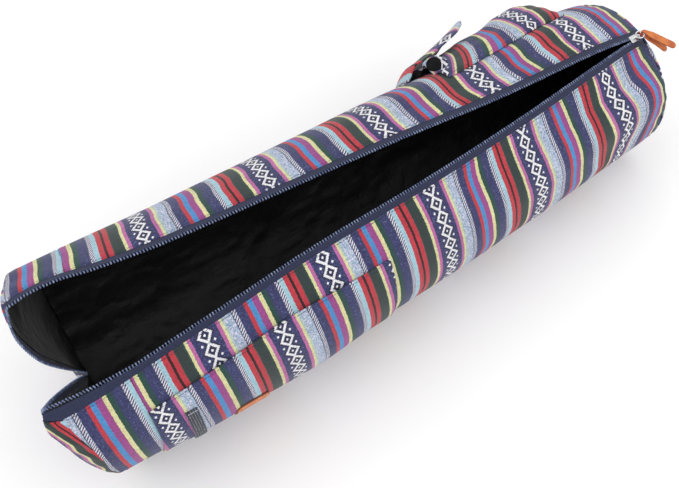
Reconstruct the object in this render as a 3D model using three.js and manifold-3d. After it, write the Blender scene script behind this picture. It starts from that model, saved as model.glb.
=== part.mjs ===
import * as THREE from 'three';
import { mergeVertices } from 'three/addons/utils/BufferGeometryUtils.js';
import Module from 'manifold-3d';

const wasm = await Module();
wasm.setup();

// Driving sizes in mm. The bag lies along X on the plane z = 0, its split end towards -X.
const bagLength = 670;
const bodyRadius = 94;
const settle = 4.2;
const clothThickness = 1.6;
const liningThickness = 1.0;
const seamGap = 0.3;
const zipWidth = 8;
const tapeThickness = 1.0;
const teethWidth = 2.6;
const teethThickness = 2.2;
const sliderLength = 13;
const sliderWidth = 7.2;
const sliderHeight = 5;
const ringRadius = 3.8;
const ringWire = 1.3;
const pullLength = 34;
const pullWidth = 9;
const leatherThickness = 1.4;
const webbingWidth = 11;
const snapDiameter = 15;
const snapHeight = 2.4;
const flapLength = 100;
const flapWidth = 56;
const backPocketPuff = 27;
const frontPocketPuff = 1.5;

const half = bagLength / 2;
const rad = THREE.MathUtils.degToRad;
const deg = THREE.MathUtils.radToDeg;
const vec = (x, y, z) => new THREE.Vector3(x, y, z);
const mix = THREE.MathUtils.lerp;
const smooth = (t) => THREE.MathUtils.smoothstep(t, 0, 1);
const bump = (t) => Math.sin(Math.PI * THREE.MathUtils.clamp(t, 0, 1));

// Stations along the bag. at: share of half the length. radius and sway: shares of bodyRadius.
// front, back: angle of the cloth's two free edges at the zip, from the top towards the front.
const stations = [
  { at: -1.0, radius: 1.056, sway: 0.027, front: 46.5, back: -14.0 },
  { at: -0.6, radius: 1.043, sway: -0.034, front: 42.5, back: -12.0 },
  { at: -0.25, radius: 1.022, sway: -0.049, front: 37.5, back: -7.5 },
  { at: 0.1, radius: 0.997, sway: -0.034, front: 35.0, back: -2.5 },
  { at: 0.45, radius: 0.95, sway: -0.01, front: 31.9, back: 4.0 },
  { at: 0.8, radius: 0.9, sway: 0.04, front: 26.0, back: 6.5 },
  { at: 0.94, radius: 0.868, sway: 0.055, front: 23.5, back: 11.0 },
  { at: 1.0, radius: 0.832, sway: 0.055, front: 23.5, back: 11.0 },
];

// The split end's rim. angle: from the top towards the front. at: share of half the length.
const rimStations = [
  { angle: 40, at: -0.996 },
  { angle: 57, at: -0.986 },
  { angle: 75, at: -0.96 },
  { angle: 95, at: -0.953 },
  { angle: 135, at: -0.913 },
  { angle: 180, at: -0.884 },
  { angle: 225, at: -0.873 },
  { angle: 270, at: -0.872 },
  { angle: 307, at: -0.886 },
  { angle: 340, at: -0.962 },
  { angle: 352, at: -0.976 },
];

// The zip's two edges down the split end, from the foot of the split up to the corners.
// at: share of half the length. across and up: shares of bodyRadius.
const splitFront = [
  { share: 0, at: -0.873, across: 0.135, up: 0.53 },
  { share: 0.36, at: -0.919, across: -0.13, up: 1.03 },
  { share: 0.68, at: -0.976, across: -0.4, up: 1.47 },
];
const splitBack = [
  { share: 0, at: -0.873, across: 0.135, up: 0.53 },
  { share: 0.35, at: -0.934, across: 0.02, up: 1.06 },
  { share: 0.6, at: -0.971, across: -0.05, up: 1.43 },
  { share: 0.8, at: -0.994, across: 0.03, up: 1.69 },
];

// A smooth curve through one column of a table.
function follow(table, key, value, column) {
  const last = table.length - 1;
  let k = 0;
  while (k < last - 1 && value > table[k + 1][key]) k += 1;
  const slope = (i) => {
    const a = table[Math.max(i - 1, 0)];
    const b = table[Math.min(i + 1, last)];
    return (b[column] - a[column]) / (b[key] - a[key]);
  };
  const a = table[k];
  const b = table[k + 1];
  const span = b[key] - a[key];
  const t = THREE.MathUtils.clamp((value - a[key]) / span, 0, 1);
  const tt = t * t;
  const ttt = tt * t;
  return (2 * ttt - 3 * tt + 1) * a[column] + (ttt - 2 * tt + t) * span * slope(k)
    + (3 * tt - 2 * ttt) * b[column] + (ttt - tt) * span * slope(k + 1);
}

const radiusAt = (x) => bodyRadius * follow(stations, 'at', x / half, 'radius');
const swayAt = (x) => bodyRadius * follow(stations, 'at', x / half, 'sway');
const frontAt = (x) => follow(stations, 'at', x / half, 'front');
const backAt = (x) => 360 + follow(stations, 'at', x / half, 'back');
const rimAt = (angle) => half * follow(rimStations, 'angle', angle, 'at');

// A point of the round body, its underside flat where it rests. lift: outwards from the cloth's face.
function hull(x, angle, lift = 0) {
  const r = radiusAt(x);
  const y = swayAt(x) - (r + lift) * Math.sin(rad(angle));
  const z = r - settle + (r + lift) * Math.cos(rad(angle));
  return vec(x, y, Math.max(z, -lift));
}

const inner = -clothThickness;
const liningOuter = inner - seamGap;
const liningInner = liningOuter - liningThickness;

// One closed body from a grid of points on two faces. place(u, v, face): face 0 outer, 1 inner.
function sheet(columns, rows, place, { wrap = false, pole = false } = {}) {
  const across = wrap ? columns : columns + 1;
  const down = pole ? rows : rows + 1;
  const points = [];
  const faces = [];
  for (let face = 0; face < 2; face += 1) {
    for (let j = 0; j < down; j += 1) {
      for (let i = 0; i < across; i += 1) points.push(place(i / columns, j / rows, face));
    }
    if (pole) points.push(place(0, 1, face));
  }
  const perFace = across * down + (pole ? 1 : 0);
  const id = (i, j, face) => {
    const base = face * perFace;
    return pole && j === rows ? base + across * down : base + j * across + (i % across);
  };
  const quad = (a, b, c, d) => faces.push([a, b, c], [a, c, d]);
  for (let j = 0; j < rows; j += 1) {
    for (let i = 0; i < columns; i += 1) {
      if (pole && j === rows - 1) {
        faces.push([id(i, j, 0), id(i + 1, j, 0), id(i, rows, 0)]);
        faces.push([id(i + 1, j, 1), id(i, j, 1), id(i, rows, 1)]);
      } else {
        quad(id(i, j, 0), id(i + 1, j, 0), id(i + 1, j + 1, 0), id(i, j + 1, 0));
        quad(id(i, j, 1), id(i, j + 1, 1), id(i + 1, j + 1, 1), id(i + 1, j, 1));
      }
    }
  }
  for (let i = 0; i < columns; i += 1) {
    quad(id(i, 0, 0), id(i, 0, 1), id(i + 1, 0, 1), id(i + 1, 0, 0));
    if (!pole) quad(id(i, rows, 0), id(i + 1, rows, 0), id(i + 1, rows, 1), id(i, rows, 1));
  }
  if (!wrap) {
    for (let j = 0; j < rows; j += 1) {
      quad(id(0, j, 0), id(0, j + 1, 0), id(0, j + 1, 1), id(0, j, 1));
      quad(id(columns, j, 0), id(columns, j, 1), id(columns, j + 1, 1), id(columns, j + 1, 0));
    }
  }
  let volume = 0;
  for (const [a, b, c] of faces) {
    volume += points[a].dot(points[b].clone().cross(points[c]));
  }
  const order = volume < 0 ? ([a, b, c]) => [a, c, b] : (f) => f;
  const geometry = new THREE.BufferGeometry();
  geometry.setAttribute('position',
    new THREE.Float32BufferAttribute(points.flatMap((p) => [p.x, p.y, p.z]), 3));
  geometry.setIndex(faces.flatMap(order));
  return geometry;
}

// The direction square to a surface point(u, v), the same side of it all over.
function across(point, u, v) {
  const e = 0.004;
  const du = point(Math.min(u + e, 1), v).sub(point(Math.max(u - e, 0), v));
  const dv = point(u, Math.min(v + e, 1)).sub(point(u, Math.max(v - e, 0)));
  return du.cross(dv).normalize();
}

// As above, on the side of the bag's inside as judged once from the surface's middle.
function inwardOf(point, u, v) {
  const inside = vec(-0.4 * half, 0, bodyRadius).sub(point(u, v));
  const sense = Math.sign(across(point, u, v).dot(inside));
  return (a, b) => across(point, a, b).multiplyScalar(sense);
}

// Joins and cuts.
function solidOf(geometry) {
  const bare = geometry.clone();
  bare.deleteAttribute('normal');
  bare.deleteAttribute('uv');
  const merged = mergeVertices(bare, 1e-3);
  return new wasm.Manifold(new wasm.Mesh({
    numProp: 3,
    vertProperties: merged.attributes.position.array,
    triVerts: new Uint32Array(merged.index.array),
  }));
}

function geometryOf(solid) {
  const mesh = solid.getMesh();
  const geometry = new THREE.BufferGeometry();
  geometry.setAttribute('position', new THREE.BufferAttribute(mesh.vertProperties, 3));
  geometry.setIndex(new THREE.BufferAttribute(mesh.triVerts, 1));
  return geometry;
}

const bag = new THREE.Group();
bag.name = 'yoga_mat_bag';

function surface(colour, roughness, metalness = 0) {
  return new THREE.MeshStandardMaterial({ color: colour, roughness, metalness });
}

const stripedCloth = surface('#3c4478', 0.92);
const blackLining = surface('#121214', 0.8);
const navyTape = surface('#232c4a', 0.85);
const navyTeeth = surface('#4a5878', 0.45);
const silverMetal = surface('#b9bcc0', 0.3, 1);
const tanLeather = surface('#b4602c', 0.6);
const charcoalWebbing = surface('#3a3b44', 0.9);
const blackSnap = surface('#0c0c0e', 0.35);

function add(name, geometry, material) {
  const mesh = new THREE.Mesh(geometry, material);
  mesh.name = name;
  bag.add(mesh);
  return mesh;
}

// Main wall: one cloth panel wrapped round from edge to edge of the zip.
const seamX = -0.8 * half;
const ringColumns = 32;
const bodyEnd = half - clothThickness - seamGap;
const turn = (x, u) => mix(frontAt(x), backAt(x), u);

const bodyRows = 11;
const endRows = 2;
add('body_main', sheet(ringColumns, bodyRows, (u, v, face) => {
  const x = mix(seamX + seamGap / 2, bodyEnd, v);
  return hull(x, turn(x, u), face ? inner : 0);
}), stripedCloth);

// Short end panel beyond the seam, its far side cut to the slanted rim.
const rimX = (u) => rimAt(mix(frontAt(-half), backAt(-half), u));
add('body_end_panel', sheet(ringColumns, endRows, (u, v, face) => {
  const start = rimX(u) + clothThickness + seamGap;
  const x = mix(start, seamX - seamGap / 2, v);
  return hull(x, turn(x, u), face ? inner : 0);
}), stripedCloth);

// Lining of the tube, its rings in line with the rings of the cloth outside it.
const liningInset = clothThickness + 3 * seamGap;
const liningStep = liningInset + liningThickness + 2 * seamGap;
add('lining_body', sheet(ringColumns, endRows + bodyRows, (u, v, face) => {
  const ring = Math.round(v * (endRows + bodyRows));
  const x = ring < endRows
    ? mix(rimX(u) + liningStep, seamX, ring / endRows)
    : mix(seamX, bodyEnd, (ring - endRows) / bodyRows);
  return hull(x, turn(x, u), face ? liningInner : liningOuter);
}), blackLining);

// Closed end: a round panel, a little domed, with its own lining.
const endDome = 5;
function endDisc(inset, setBack, thickness) {
  return sheet(ringColumns, 3, (u, v, face) => {
    const rim = hull(half, turn(half, 0) + 360 * u, -inset);
    const centre = vec(0, swayAt(half), radiusAt(half) - settle);
    const share = 1 - v;
    const depth = setBack + (face ? thickness : 0);
    const x = half - depth + endDome * Math.sqrt(Math.max(1 - share * share, 0)) * 0.8;
    return vec(x, mix(centre.y, rim.y, share), mix(centre.z, rim.z, share));
  }, { wrap: true, pole: true });
}
add('end_cap_right', endDisc(0, 0, clothThickness), stripedCloth);
add('lining_end_right', endDisc(
  liningInset + liningThickness + 2 * seamGap, clothThickness + seamGap, liningThickness,
), blackLining);

// Split end. The rim runs from the front corner under the bag to the back corner, and the
// zip's edge runs from the front corner down to the foot of the split and up to the back one.
const zipAngle = (x) => deg(zipWidth / radiusAt(x));
const frontCorner = () => {
  const x = rimAt(frontAt(-half)) - zipWidth;
  return hull(x, frontAt(-half) - zipAngle(-half));
};
const backCorner = () => {
  const x = rimAt(backAt(-half)) - 0.55 * zipWidth;
  return hull(x, backAt(-half) + zipAngle(-half));
};
function cornered(table, corner) {
  const rows = table.map((row) => ({
    share: row.share,
    x: row.at * half,
    y: row.across * bodyRadius,
    z: row.up * bodyRadius,
  }));
  return [...rows, { share: 1, x: corner.x, y: corner.y, z: corner.z }];
}
const frontSplit = cornered(splitFront, frontCorner());
const backSplit = cornered(splitBack, backCorner());
function splitEdge(s) {
  const table = s < 0.5 ? frontSplit : backSplit;
  const share = Math.abs(1 - 2 * s);
  return vec(follow(table, 'share', share, 'x'), follow(table, 'share', share, 'y'),
    follow(table, 'share', share, 'z'));
}
function rimPoint(s) {
  const angle = mix(frontAt(-half), backAt(-half), s);
  return hull(rimAt(angle), angle);
}
// How far the split end's cloth swells out between its rim and the zip.
const swell = (s) => mix(7, 13, smooth(Math.abs(1 - 2 * s) * 1.6)) * bodyRadius / 94;
function capPoint(s, u) {
  const rim = rimPoint(s);
  const edge = splitEdge(s);
  const p = rim.clone().lerp(edge, u);
  const reach = rim.distanceTo(edge);
  p.x -= swell(s) * Math.min(reach / 40, 1) * Math.sin(Math.PI * Math.pow(u, 0.75));
  return p;
}
// Columns of the split end's cloth from the front corner round to the back corner.
const capColumns = 36;
const cornerShare = 0.03;
const capTurn = (k) => mix(cornerShare, 1 - cornerShare, k / capColumns);
// Share of the way from rim to zip edge at which the cloth stops and the zip's tape starts.
function clothShare(s) {
  const reach = rimPoint(s).distanceTo(splitEdge(s));
  const corner = Math.min(Math.max(1 - (Math.min(s, 1 - s) - cornerShare) / 0.05, 0), 1);
  const width = Math.min(mix(zipWidth, reach, corner), reach);
  return Math.max(1 - width / reach, 0.02);
}

// Rows go from the rim inwards, the second one at the lining's own edge. from, to: depths of
// the two faces. skip: columns left off at each corner, and rows left off at the rim.
const capRows = 6;
function capSheet(skipColumns, skipRows, from, to) {
  const stop = (s) => mix(8, 3.4, smooth((Math.min(s, 1 - s) - cornerShare) / 0.12)) * seamGap;
  const edge = (s) => clothShare(s) - stop(s) / rimPoint(s).distanceTo(splitEdge(s));
  const place = (a, b) => capPoint(a, b * Math.max(edge(a), 0.01));
  const inward = inwardOf(place, 0.3, 0.5);
  const columns = capColumns - 2 * skipColumns;
  const rows = capRows - skipRows;
  return sheet(columns, rows, (u, v, face) => {
    const s = capTurn(u * columns + skipColumns);
    const row = Math.round(v * rows) + skipRows;
    const first = liningInset / rimPoint(s).distanceTo(splitEdge(s));
    const further = Math.pow(Math.max(row - 1, 0) / (capRows - 1), 0.85);
    const share = row === 0 ? 0 : mix(first, 1, further);
    const square = inward(s, Math.min(Math.max(share, 0.02), 0.98));
    const flat = smooth(share / 0.25);
    const n = vec(1, 0, 0).lerp(square, flat).normalize();
    return place(s, share).addScaledVector(n, face ? to : from);
  });
}
add('end_cap_left', capSheet(1, 0, 0, clothThickness), stripedCloth);
add('lining_end_left', capSheet(2, 1, -liningOuter, -liningInner), blackLining);

// Zip: a tape with a row of teeth along each free edge, round the corner and down the split.
// Its points keep step with the rings of the cloth, so that the two edges stay side by side.
const zipEnd = 0.985 * half;
const downSteps = 18;
const bodySteps = bodyRows + endRows;
const zipSteps = bodySteps + downSteps;
const zipTurn = bodySteps / zipSteps;
function ringX(k, corner) {
  return k <= bodyRows
    ? mix(bodyEnd, seamX, k / bodyRows)
    : mix(seamX, corner, (k - bodyRows) / endRows);
}
function zipCurve(side, w, offset) {
  const down = Math.max((w - zipTurn) / (1 - zipTurn), 0);
  if (down > 1e-9) {
    const k = down * downSteps;
    const turned = k <= 1 ? cornerShare * k : capTurn(k - 1);
    const s = side > 0 ? turned : 1 - turned;
    const cloth = capPoint(s, clothShare(s));
    return cloth.lerp(capPoint(s, 1), offset / zipWidth);
  }
  const edgeAt = side > 0 ? frontAt : backAt;
  const overhang = (side > 0 ? 1 : 0.55) * offset;
  const corner = rimAt(edgeAt(-half)) - overhang;
  const step = Math.min(w * zipSteps, bodySteps);
  const k = Math.min(Math.floor(step + 1e-6), bodySteps - 1);
  const ends = [ringX(k, corner), ringX(k + 1, corner)];
  const share = k === 0 ? mix((bodyEnd - zipEnd) / (ends[0] - ends[1]), 1, step) : step - k;
  const edge = mix(edgeAt(ends[0]), edgeAt(ends[1]), share);
  const x = mix(ends[0], ends[1], share);
  return hull(x, edge - side * deg(offset / radiusAt(x)));
}
function zipStrip(side, from, to, depth, thickness) {
  const place = (a, b) => zipCurve(side, a, mix(from, to, b));
  const inward = inwardOf(place, 0.3, 0.5);
  return sheet(zipSteps, 1, (u, v, face) => {
    const n = inward(u, 0.5);
    return place(u, v).addScaledVector(n, depth + (face ? thickness : 0));
  });
}
const tapeEnd = zipWidth - teethWidth - 3 * seamGap;
const teethDepth = (tapeThickness - teethThickness) / 2 + 0.4;
for (const [name, side] of [['front', 1], ['back', -1]]) {
  add(`zip_tape_${name}`, zipStrip(side, seamGap, tapeEnd, 0.4, tapeThickness), navyTape);
  add(`zip_teeth_${name}`,
    zipStrip(side, zipWidth - teethWidth, zipWidth, teethDepth, teethThickness), navyTeeth);
}

// Slip pocket on the front, open along its top hem.
const pocketClear = 0.75;
const frontPocket = { start: seamX + 1, end: -0.09 * half, foot: 150 };
const hemAngle = (x) => {
  const t = (x - frontPocket.start) / (frontPocket.end - frontPocket.start);
  return mix(64.5, 56, Math.min(1, t * 1.9));
};
function frontPocketLift(x, angle) {
  const t = (x - frontPocket.start) / (frontPocket.end - frontPocket.start);
  const d = (angle - hemAngle(x)) / (frontPocket.foot - hemAngle(x));
  const ends = Math.min(bump(t) * 1.5, 1);
  return pocketClear + frontPocketPuff * ends * (0.55 + 0.45 * bump(d)) * smooth((1 - d) * 4);
}
add('front_pocket', sheet(12, 10, (u, v, face) => {
  const x = mix(frontPocket.start, frontPocket.end, u);
  const angle = mix(hemAngle(x), frontPocket.foot, v);
  return hull(x, angle, frontPocketLift(x, angle) + (face ? 0 : clothThickness));
}), stripedCloth);

// A piece that follows the body's roundness over a span of length and angle.
function applied(columns, rows, span, lift, thickness) {
  return sheet(columns, rows, (u, v, face) => {
    const x = mix(span.start, span.end, u);
    const angle = mix(span.top, span.foot, v);
    return hull(x, angle, lift(x, angle) + (face ? 0 : thickness));
  });
}
const onFrontPocket = (x, angle) => frontPocketLift(x, angle) + clothThickness + 0.4;
const tabStart = -0.733 * half;
add('webbing_tab', applied(2, 7,
  { start: tabStart, end: tabStart + webbingWidth, top: 76, foot: 138 },
  onFrontPocket, 1.6), charcoalWebbing);
const patchStart = -0.603 * half;
add('leather_patch', applied(4, 4,
  { start: patchStart, end: patchStart + 0.35 * bodyRadius, top: 101, foot: 121 },
  onFrontPocket, leatherThickness), tanLeather);

// Puffed pocket on the back, open at its end towards -X.
const backPocket = { start: 0.37 * half, end: 0.85 * half, foot: 242 };
const backPocketTop = (x) => {
  const t = (x - backPocket.start) / (backPocket.end - backPocket.start);
  return mix(338, 330.5, t);
};
function backPocketLift(x, angle) {
  const t = (x - backPocket.start) / (backPocket.end - backPocket.start);
  const d = (backPocketTop(x) - angle) / (backPocketTop(x) - backPocket.foot);
  const lengthwise = mix(0.24, 1, Math.pow(Math.max(t, 0), 1.25))
    * Math.cos(0.5 * Math.PI * Math.pow(Math.max(t, 0), 11));
  return pocketClear + backPocketPuff * Math.pow(bump(d), 0.8) * Math.max(lengthwise, 0);
}
add('back_pocket', sheet(12, 12, (u, v, face) => {
  const lean = -0.012 * half * bump(v) * (1 - u);
  const x = mix(backPocket.start, backPocket.end, u) + lean;
  const angle = mix(backPocketTop(x), backPocket.foot, v);
  return hull(x, angle, backPocketLift(x, angle) + (face ? 0 : clothThickness));
}), stripedCloth);

// Tongue flap, sewn to the body beside the pocket's mouth and standing open.
const flapRoot = 0.3 * half;
const flapMiddle = 360 - 66;
const flapThickness = 2;
// Room for the pocket's mouth and the stud under the flap.
const pocketRoom = (x, angle) => {
  const t = (x - backPocket.start + 23) / 19;
  return t <= 0 ? 0 : smooth(t) * (backPocketLift(Math.max(x, backPocket.start + 1), angle)
    + clothThickness + snapHeight + 0.8);
};
const flapRise = (t) => 0.13 * flapLength * Math.pow(t, 1.5);
function flapPoint(t, w) {
  const x = flapRoot + flapLength * (t - 0.08 * t * t);
  const taper = 1 - 0.35 * smooth((t - 0.72) / 0.28);
  const angle = flapMiddle + deg((w - 0.5) * flapWidth * taper / radiusAt(x));
  return { x, angle, lift: 0.6 * pocketClear + flapRise(t) + pocketRoom(x, angle) };
}
add('pocket_flap', sheet(10, 8, (u, v, face) => {
  const p = flapPoint(u, v);
  return hull(p.x, p.angle, p.lift + (face ? 0 : flapThickness));
}), stripedCloth);

// Press stud: the cap on the pocket's mouth, and its socket under the flap.
function button(centreX, centreAngle, lift, diameter, height) {
  return sheet(16, 2, (u, v, face) => {
    const r = diameter / 2 * (1 - v);
    const x = centreX + r * Math.cos(2 * Math.PI * u);
    const angle = centreAngle + deg(r * Math.sin(2 * Math.PI * u) / radiusAt(centreX));
    const crown = face ? 0 : height * (0.55 + 0.45 * smooth(v * 1.6));
    return hull(x, angle, lift(x, angle) + crown);
  }, { wrap: true, pole: true });
}
const studX = 0.391 * half;
add('snap_cap', button(studX, 360 - 39,
  (x, angle) => backPocketLift(x, angle) + clothThickness + 0.45, snapDiameter, snapHeight),
blackSnap);

const socketShare = 0.78;
add('snap_socket', sheet(16, 2, (u, v, face) => {
  const r = 0.38 * snapDiameter * (1 - v);
  const t = socketShare + r * Math.cos(2 * Math.PI * u) / flapLength;
  const w = 0.5 + r * Math.sin(2 * Math.PI * u) / flapWidth;
  const p = flapPoint(t, w);
  return hull(p.x, p.angle, p.lift - 0.4 - (face ? 0.7 * snapHeight : 0));
}, { wrap: true, pole: true }), blackSnap);

// Slider with its bail, a wire ring, and a folded leather pull hanging over the end.
const sliderX = 0.957 * half;
const sliderAngle = 0.5 * (frontAt(sliderX) + backAt(sliderX) - 360);
const sliderSeat = hull(sliderX, sliderAngle, 0.75);
const slope = new THREE.Group();
slope.position.copy(sliderSeat);
slope.rotation.set(rad(sliderAngle), 0, 0);
slope.updateMatrixWorld(true);

function bar(sx, sy, sz, x, y, z) {
  return solidOf(new THREE.BoxGeometry(sx, sy, sz).translate(x, y, z));
}
const plate = sliderHeight * 0.44;
const sliderBody = bar(sliderLength * 0.62, sliderWidth, plate, -sliderLength * 0.14, 0, plate / 2)
  .add(bar(sliderLength * 0.42, sliderWidth * 0.62, plate, sliderLength * 0.26, 0, plate / 2))
  .add(bar(1.4, 2.4, sliderHeight, -sliderLength * 0.41, 0, sliderHeight / 2))
  .add(bar(1.4, 2.4, sliderHeight, sliderLength * 0.41, 0, sliderHeight / 2))
  .add(bar(sliderLength * 0.82 + 1.4, 2.4, 1.2, 0, 0, sliderHeight));
const slider = add('zip_slider', geometryOf(sliderBody), silverMetal);
slider.applyMatrix4(slope.matrixWorld);

// The ring passes under the bail and through the pull's fold.
const ringCentre = vec(sliderLength * 0.02, -ringRadius * 0.86, plate + 0.35 + ringWire * 0.5);
const ring = new THREE.TorusGeometry(ringRadius, ringWire / 2, 8, 24);
ring.translate(ringCentre.x, ringCentre.y, ringCentre.z);
const ringMesh = add('pull_ring', ring, silverMetal);
ringMesh.applyMatrix4(slope.matrixWorld);

const pullStart = vec(ringCentre.x + 0.51 * ringRadius, ringCentre.y - 0.86 * ringRadius, ringCentre.z)
  .applyMatrix4(slope.matrixWorld);
const pullWay = vec(0.56, -0.8, 0.02).normalize();
const pullSide = vec(0.84, 0.5, 0).normalize();
const pullUp = pullSide.clone().cross(pullWay).normalize();
if (pullUp.z < 0) pullUp.negate();
// The strip's path: out from the lower tip, round the ring's wire, back to the upper tip.
function pullPath(t) {
  const r = ringWire / 2 + 0.75 + leatherThickness / 2;
  const turnShare = 0.12;
  const arm = (0.5 - turnShare / 2);
  if (Math.abs(t - 0.5) < turnShare / 2) {
    const a = Math.PI * (t - 0.5) / turnShare;
    return pullStart.clone().addScaledVector(pullWay, -r * Math.cos(a))
      .addScaledVector(pullUp, r * Math.sin(a));
  }
  const sign = Math.sign(t - 0.5);
  const out = (Math.abs(t - 0.5) - turnShare / 2) / arm;
  const length = sign > 0 ? pullLength : pullLength * 0.86;
  const spread = r + (sign > 0 ? 0.6 : 4.5) * out * out;
  return pullStart.clone().addScaledVector(pullWay, length * out)
    .addScaledVector(pullUp, sign * spread);
}
add('pull_leather', sheet(26, 1, (u, v, face) => {
  const e = 0.004;
  const way = pullPath(Math.min(u + e, 1)).sub(pullPath(Math.max(u - e, 0))).normalize();
  const n = way.clone().cross(pullSide).normalize();
  const narrow = mix(0.36, 1, smooth(Math.abs(u - 0.5) * 5));
  return pullPath(u).addScaledVector(pullSide, (v - 0.5) * pullWidth * narrow)
    .addScaledVector(n, (face - 0.5) * leatherThickness);
}), tanLeather);

// The origin sits under the middle of the whole bag's box, on the plane it rests on.
bag.updateMatrixWorld(true);
const box = new THREE.Box3().setFromObject(bag, true);
bag.position.set(-(box.min.x + box.max.x) / 2, -(box.min.y + box.max.y) / 2, -box.min.z);
bag.updateMatrixWorld(true);

export default bag;
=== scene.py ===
# Yoga mat bag in striped woven cloth, lying with its zip open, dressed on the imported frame.
import bpy
import bmesh
import math
import numpy as np
from mathutils import Matrix, Vector


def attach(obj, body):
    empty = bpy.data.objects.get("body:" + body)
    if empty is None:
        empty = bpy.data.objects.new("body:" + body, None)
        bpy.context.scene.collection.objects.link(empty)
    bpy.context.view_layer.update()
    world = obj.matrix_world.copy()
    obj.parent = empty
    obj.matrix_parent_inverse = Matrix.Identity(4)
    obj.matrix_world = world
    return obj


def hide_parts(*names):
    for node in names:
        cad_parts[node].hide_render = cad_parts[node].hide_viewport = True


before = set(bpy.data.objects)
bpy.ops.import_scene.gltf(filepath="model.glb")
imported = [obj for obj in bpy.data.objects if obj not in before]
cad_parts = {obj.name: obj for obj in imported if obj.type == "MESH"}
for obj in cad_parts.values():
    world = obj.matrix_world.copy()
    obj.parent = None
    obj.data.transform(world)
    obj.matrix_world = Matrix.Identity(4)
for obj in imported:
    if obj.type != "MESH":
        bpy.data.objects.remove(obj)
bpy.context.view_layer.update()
print("frame loaded,", len(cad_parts), "nodes")

# All lengths below are in mm in the drawing's own frame; place() takes them to metres on the row.
rowShift = np.array([-1.7084, -7.2022, 0.0])


def place(points):
    return (np.asarray(points, float) + rowShift) / 1000


# Camera

view = {
    "at": (-328.806, -445.336, 878.489),
    "azimuth": 0.5993,
    "elevation": 0.9920,
    # a focal length of 1000 pixels over a picture 679 wide
    "sensor": 36,
    "lens": 1000 * 36 / 679,
    "farthest": 50,
}


def buildCamera():
    az, el = view["azimuth"], view["elevation"]
    ahead = Vector((math.cos(el) * math.sin(az), math.cos(el) * math.cos(az), -math.sin(el)))
    right = Vector((math.cos(az), -math.sin(az), 0))
    up = right.cross(ahead)
    data = bpy.data.cameras.new("camera")
    data.lens = view["lens"]
    data.sensor_width = view["sensor"]
    data.sensor_fit = "HORIZONTAL"
    data.clip_end = view["farthest"]
    camera = bpy.data.objects.new("camera", data)
    turn = Matrix((right, up, -ahead)).transposed().to_4x4()
    camera.matrix_world = Matrix.Translation(Vector(place(view["at"]))) @ turn
    bpy.context.scene.collection.objects.link(camera)
    bpy.context.scene.camera = camera


buildCamera()
print("camera set")

# Shape of the bag, the mouth and the rim read closer than in the part's source

bag = {
    "half": 335.0,
    "radius": 94.0,
    "settle": 4.2,
    "cloth": 1.6,
    "lining": 1.0,
    "gap": 0.3,
    "seamX": -272.2,
    "zipWidth": 8.0,
}
stations = {
    "at": (-1.0, -0.6, -0.25, 0.1, 0.45, 0.8, 0.94, 1.0),
    "radius": (1.056, 1.043, 1.022, 0.997, 0.95, 0.9, 0.868, 0.832),
    "sway": (0.027, -0.034, -0.049, -0.034, -0.01, 0.04, 0.055, 0.055),
}
mouth = {
    "at": (-1.0, -0.96, -0.925, -0.88, -0.83, -0.79, -0.74, -0.67,
           -0.6, -0.25, 0.1, 0.45, 0.8, 0.94, 1.0),
    "front": (48.4, 48.3, 47.9, 47.3, 46.2, 45.3, 44.2, 42.6,
              41.3, 35.8, 34.4, 30.7, 25.8, 23.5, 23.5),
    "back": (-15.6, -17.0, -18.8, -19.6, -18.9, -16.9, -15.0, -13.1,
             -11.4, -7.0, -1.6, 4.2, 8.5, 11.0, 11.0),
}
rimStations = {
    "angle": (40, 50, 57, 65, 80, 95, 110, 135, 180, 225, 270, 300, 310, 319, 330, 340, 352),
    "at": (-0.993, -0.991, -0.986, -0.974, -0.959, -0.953, -0.93, -0.9, -0.88, -0.873,
           -0.875, -0.89, -0.916, -0.939, -0.958, -0.971, -0.976),
}
half = bag["half"]


def follow(keys, values, at):
    # a smooth curve through a row of values
    k = np.asarray(keys, float)
    c = np.asarray(values, float)
    last = len(k) - 1
    low = np.maximum(np.arange(len(k)) - 1, 0)
    high = np.minimum(np.arange(len(k)) + 1, last)
    slope = (c[high] - c[low]) / (k[high] - k[low])
    at = np.asarray(at, float)
    i = np.clip(np.searchsorted(k, at) - 1, 0, last - 1)
    span = k[i + 1] - k[i]
    t = np.clip((at - k[i]) / span, 0, 1)
    return ((2 * t**3 - 3 * t**2 + 1) * c[i] + (t**3 - 2 * t**2 + t) * span * slope[i]
            + (3 * t**2 - 2 * t**3) * c[i + 1] + (t**3 - t**2) * span * slope[i + 1])


def alongBag(column, x):
    return follow(stations["at"], stations[column], np.asarray(x, float) / half)


def radiusAt(x):
    return bag["radius"] * alongBag("radius", x)


def frontAt(x):
    return follow(mouth["at"], mouth["front"], np.asarray(x, float) / half)


def backAt(x):
    return 360 + follow(mouth["at"], mouth["back"], np.asarray(x, float) / half)


def rimAt(angle):
    return half * follow(rimStations["angle"], rimStations["at"], angle)


def depths(x, angle):
    # distances over the cloth from the mouth's front edge and from its back edge
    r = radiusAt(x)
    return np.radians(angle - frontAt(x)) * r, np.radians(backAt(x) - angle) * r


def mix(a, b, t):
    return a + (b - a) * t


def smooth(t):
    t = np.clip(t, 0, 1)
    return t * t * (3 - 2 * t)


def hill(t, width):
    return np.exp(-(t / width) ** 2)


def ridges(rows, distance):
    # heights at a distance from an edge: rows of distance, width, height
    return sum(height * hill(distance - at, width) for at, width, height in rows)


lattice = np.random.default_rng(11).uniform(-1, 1, (64, 64))


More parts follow.
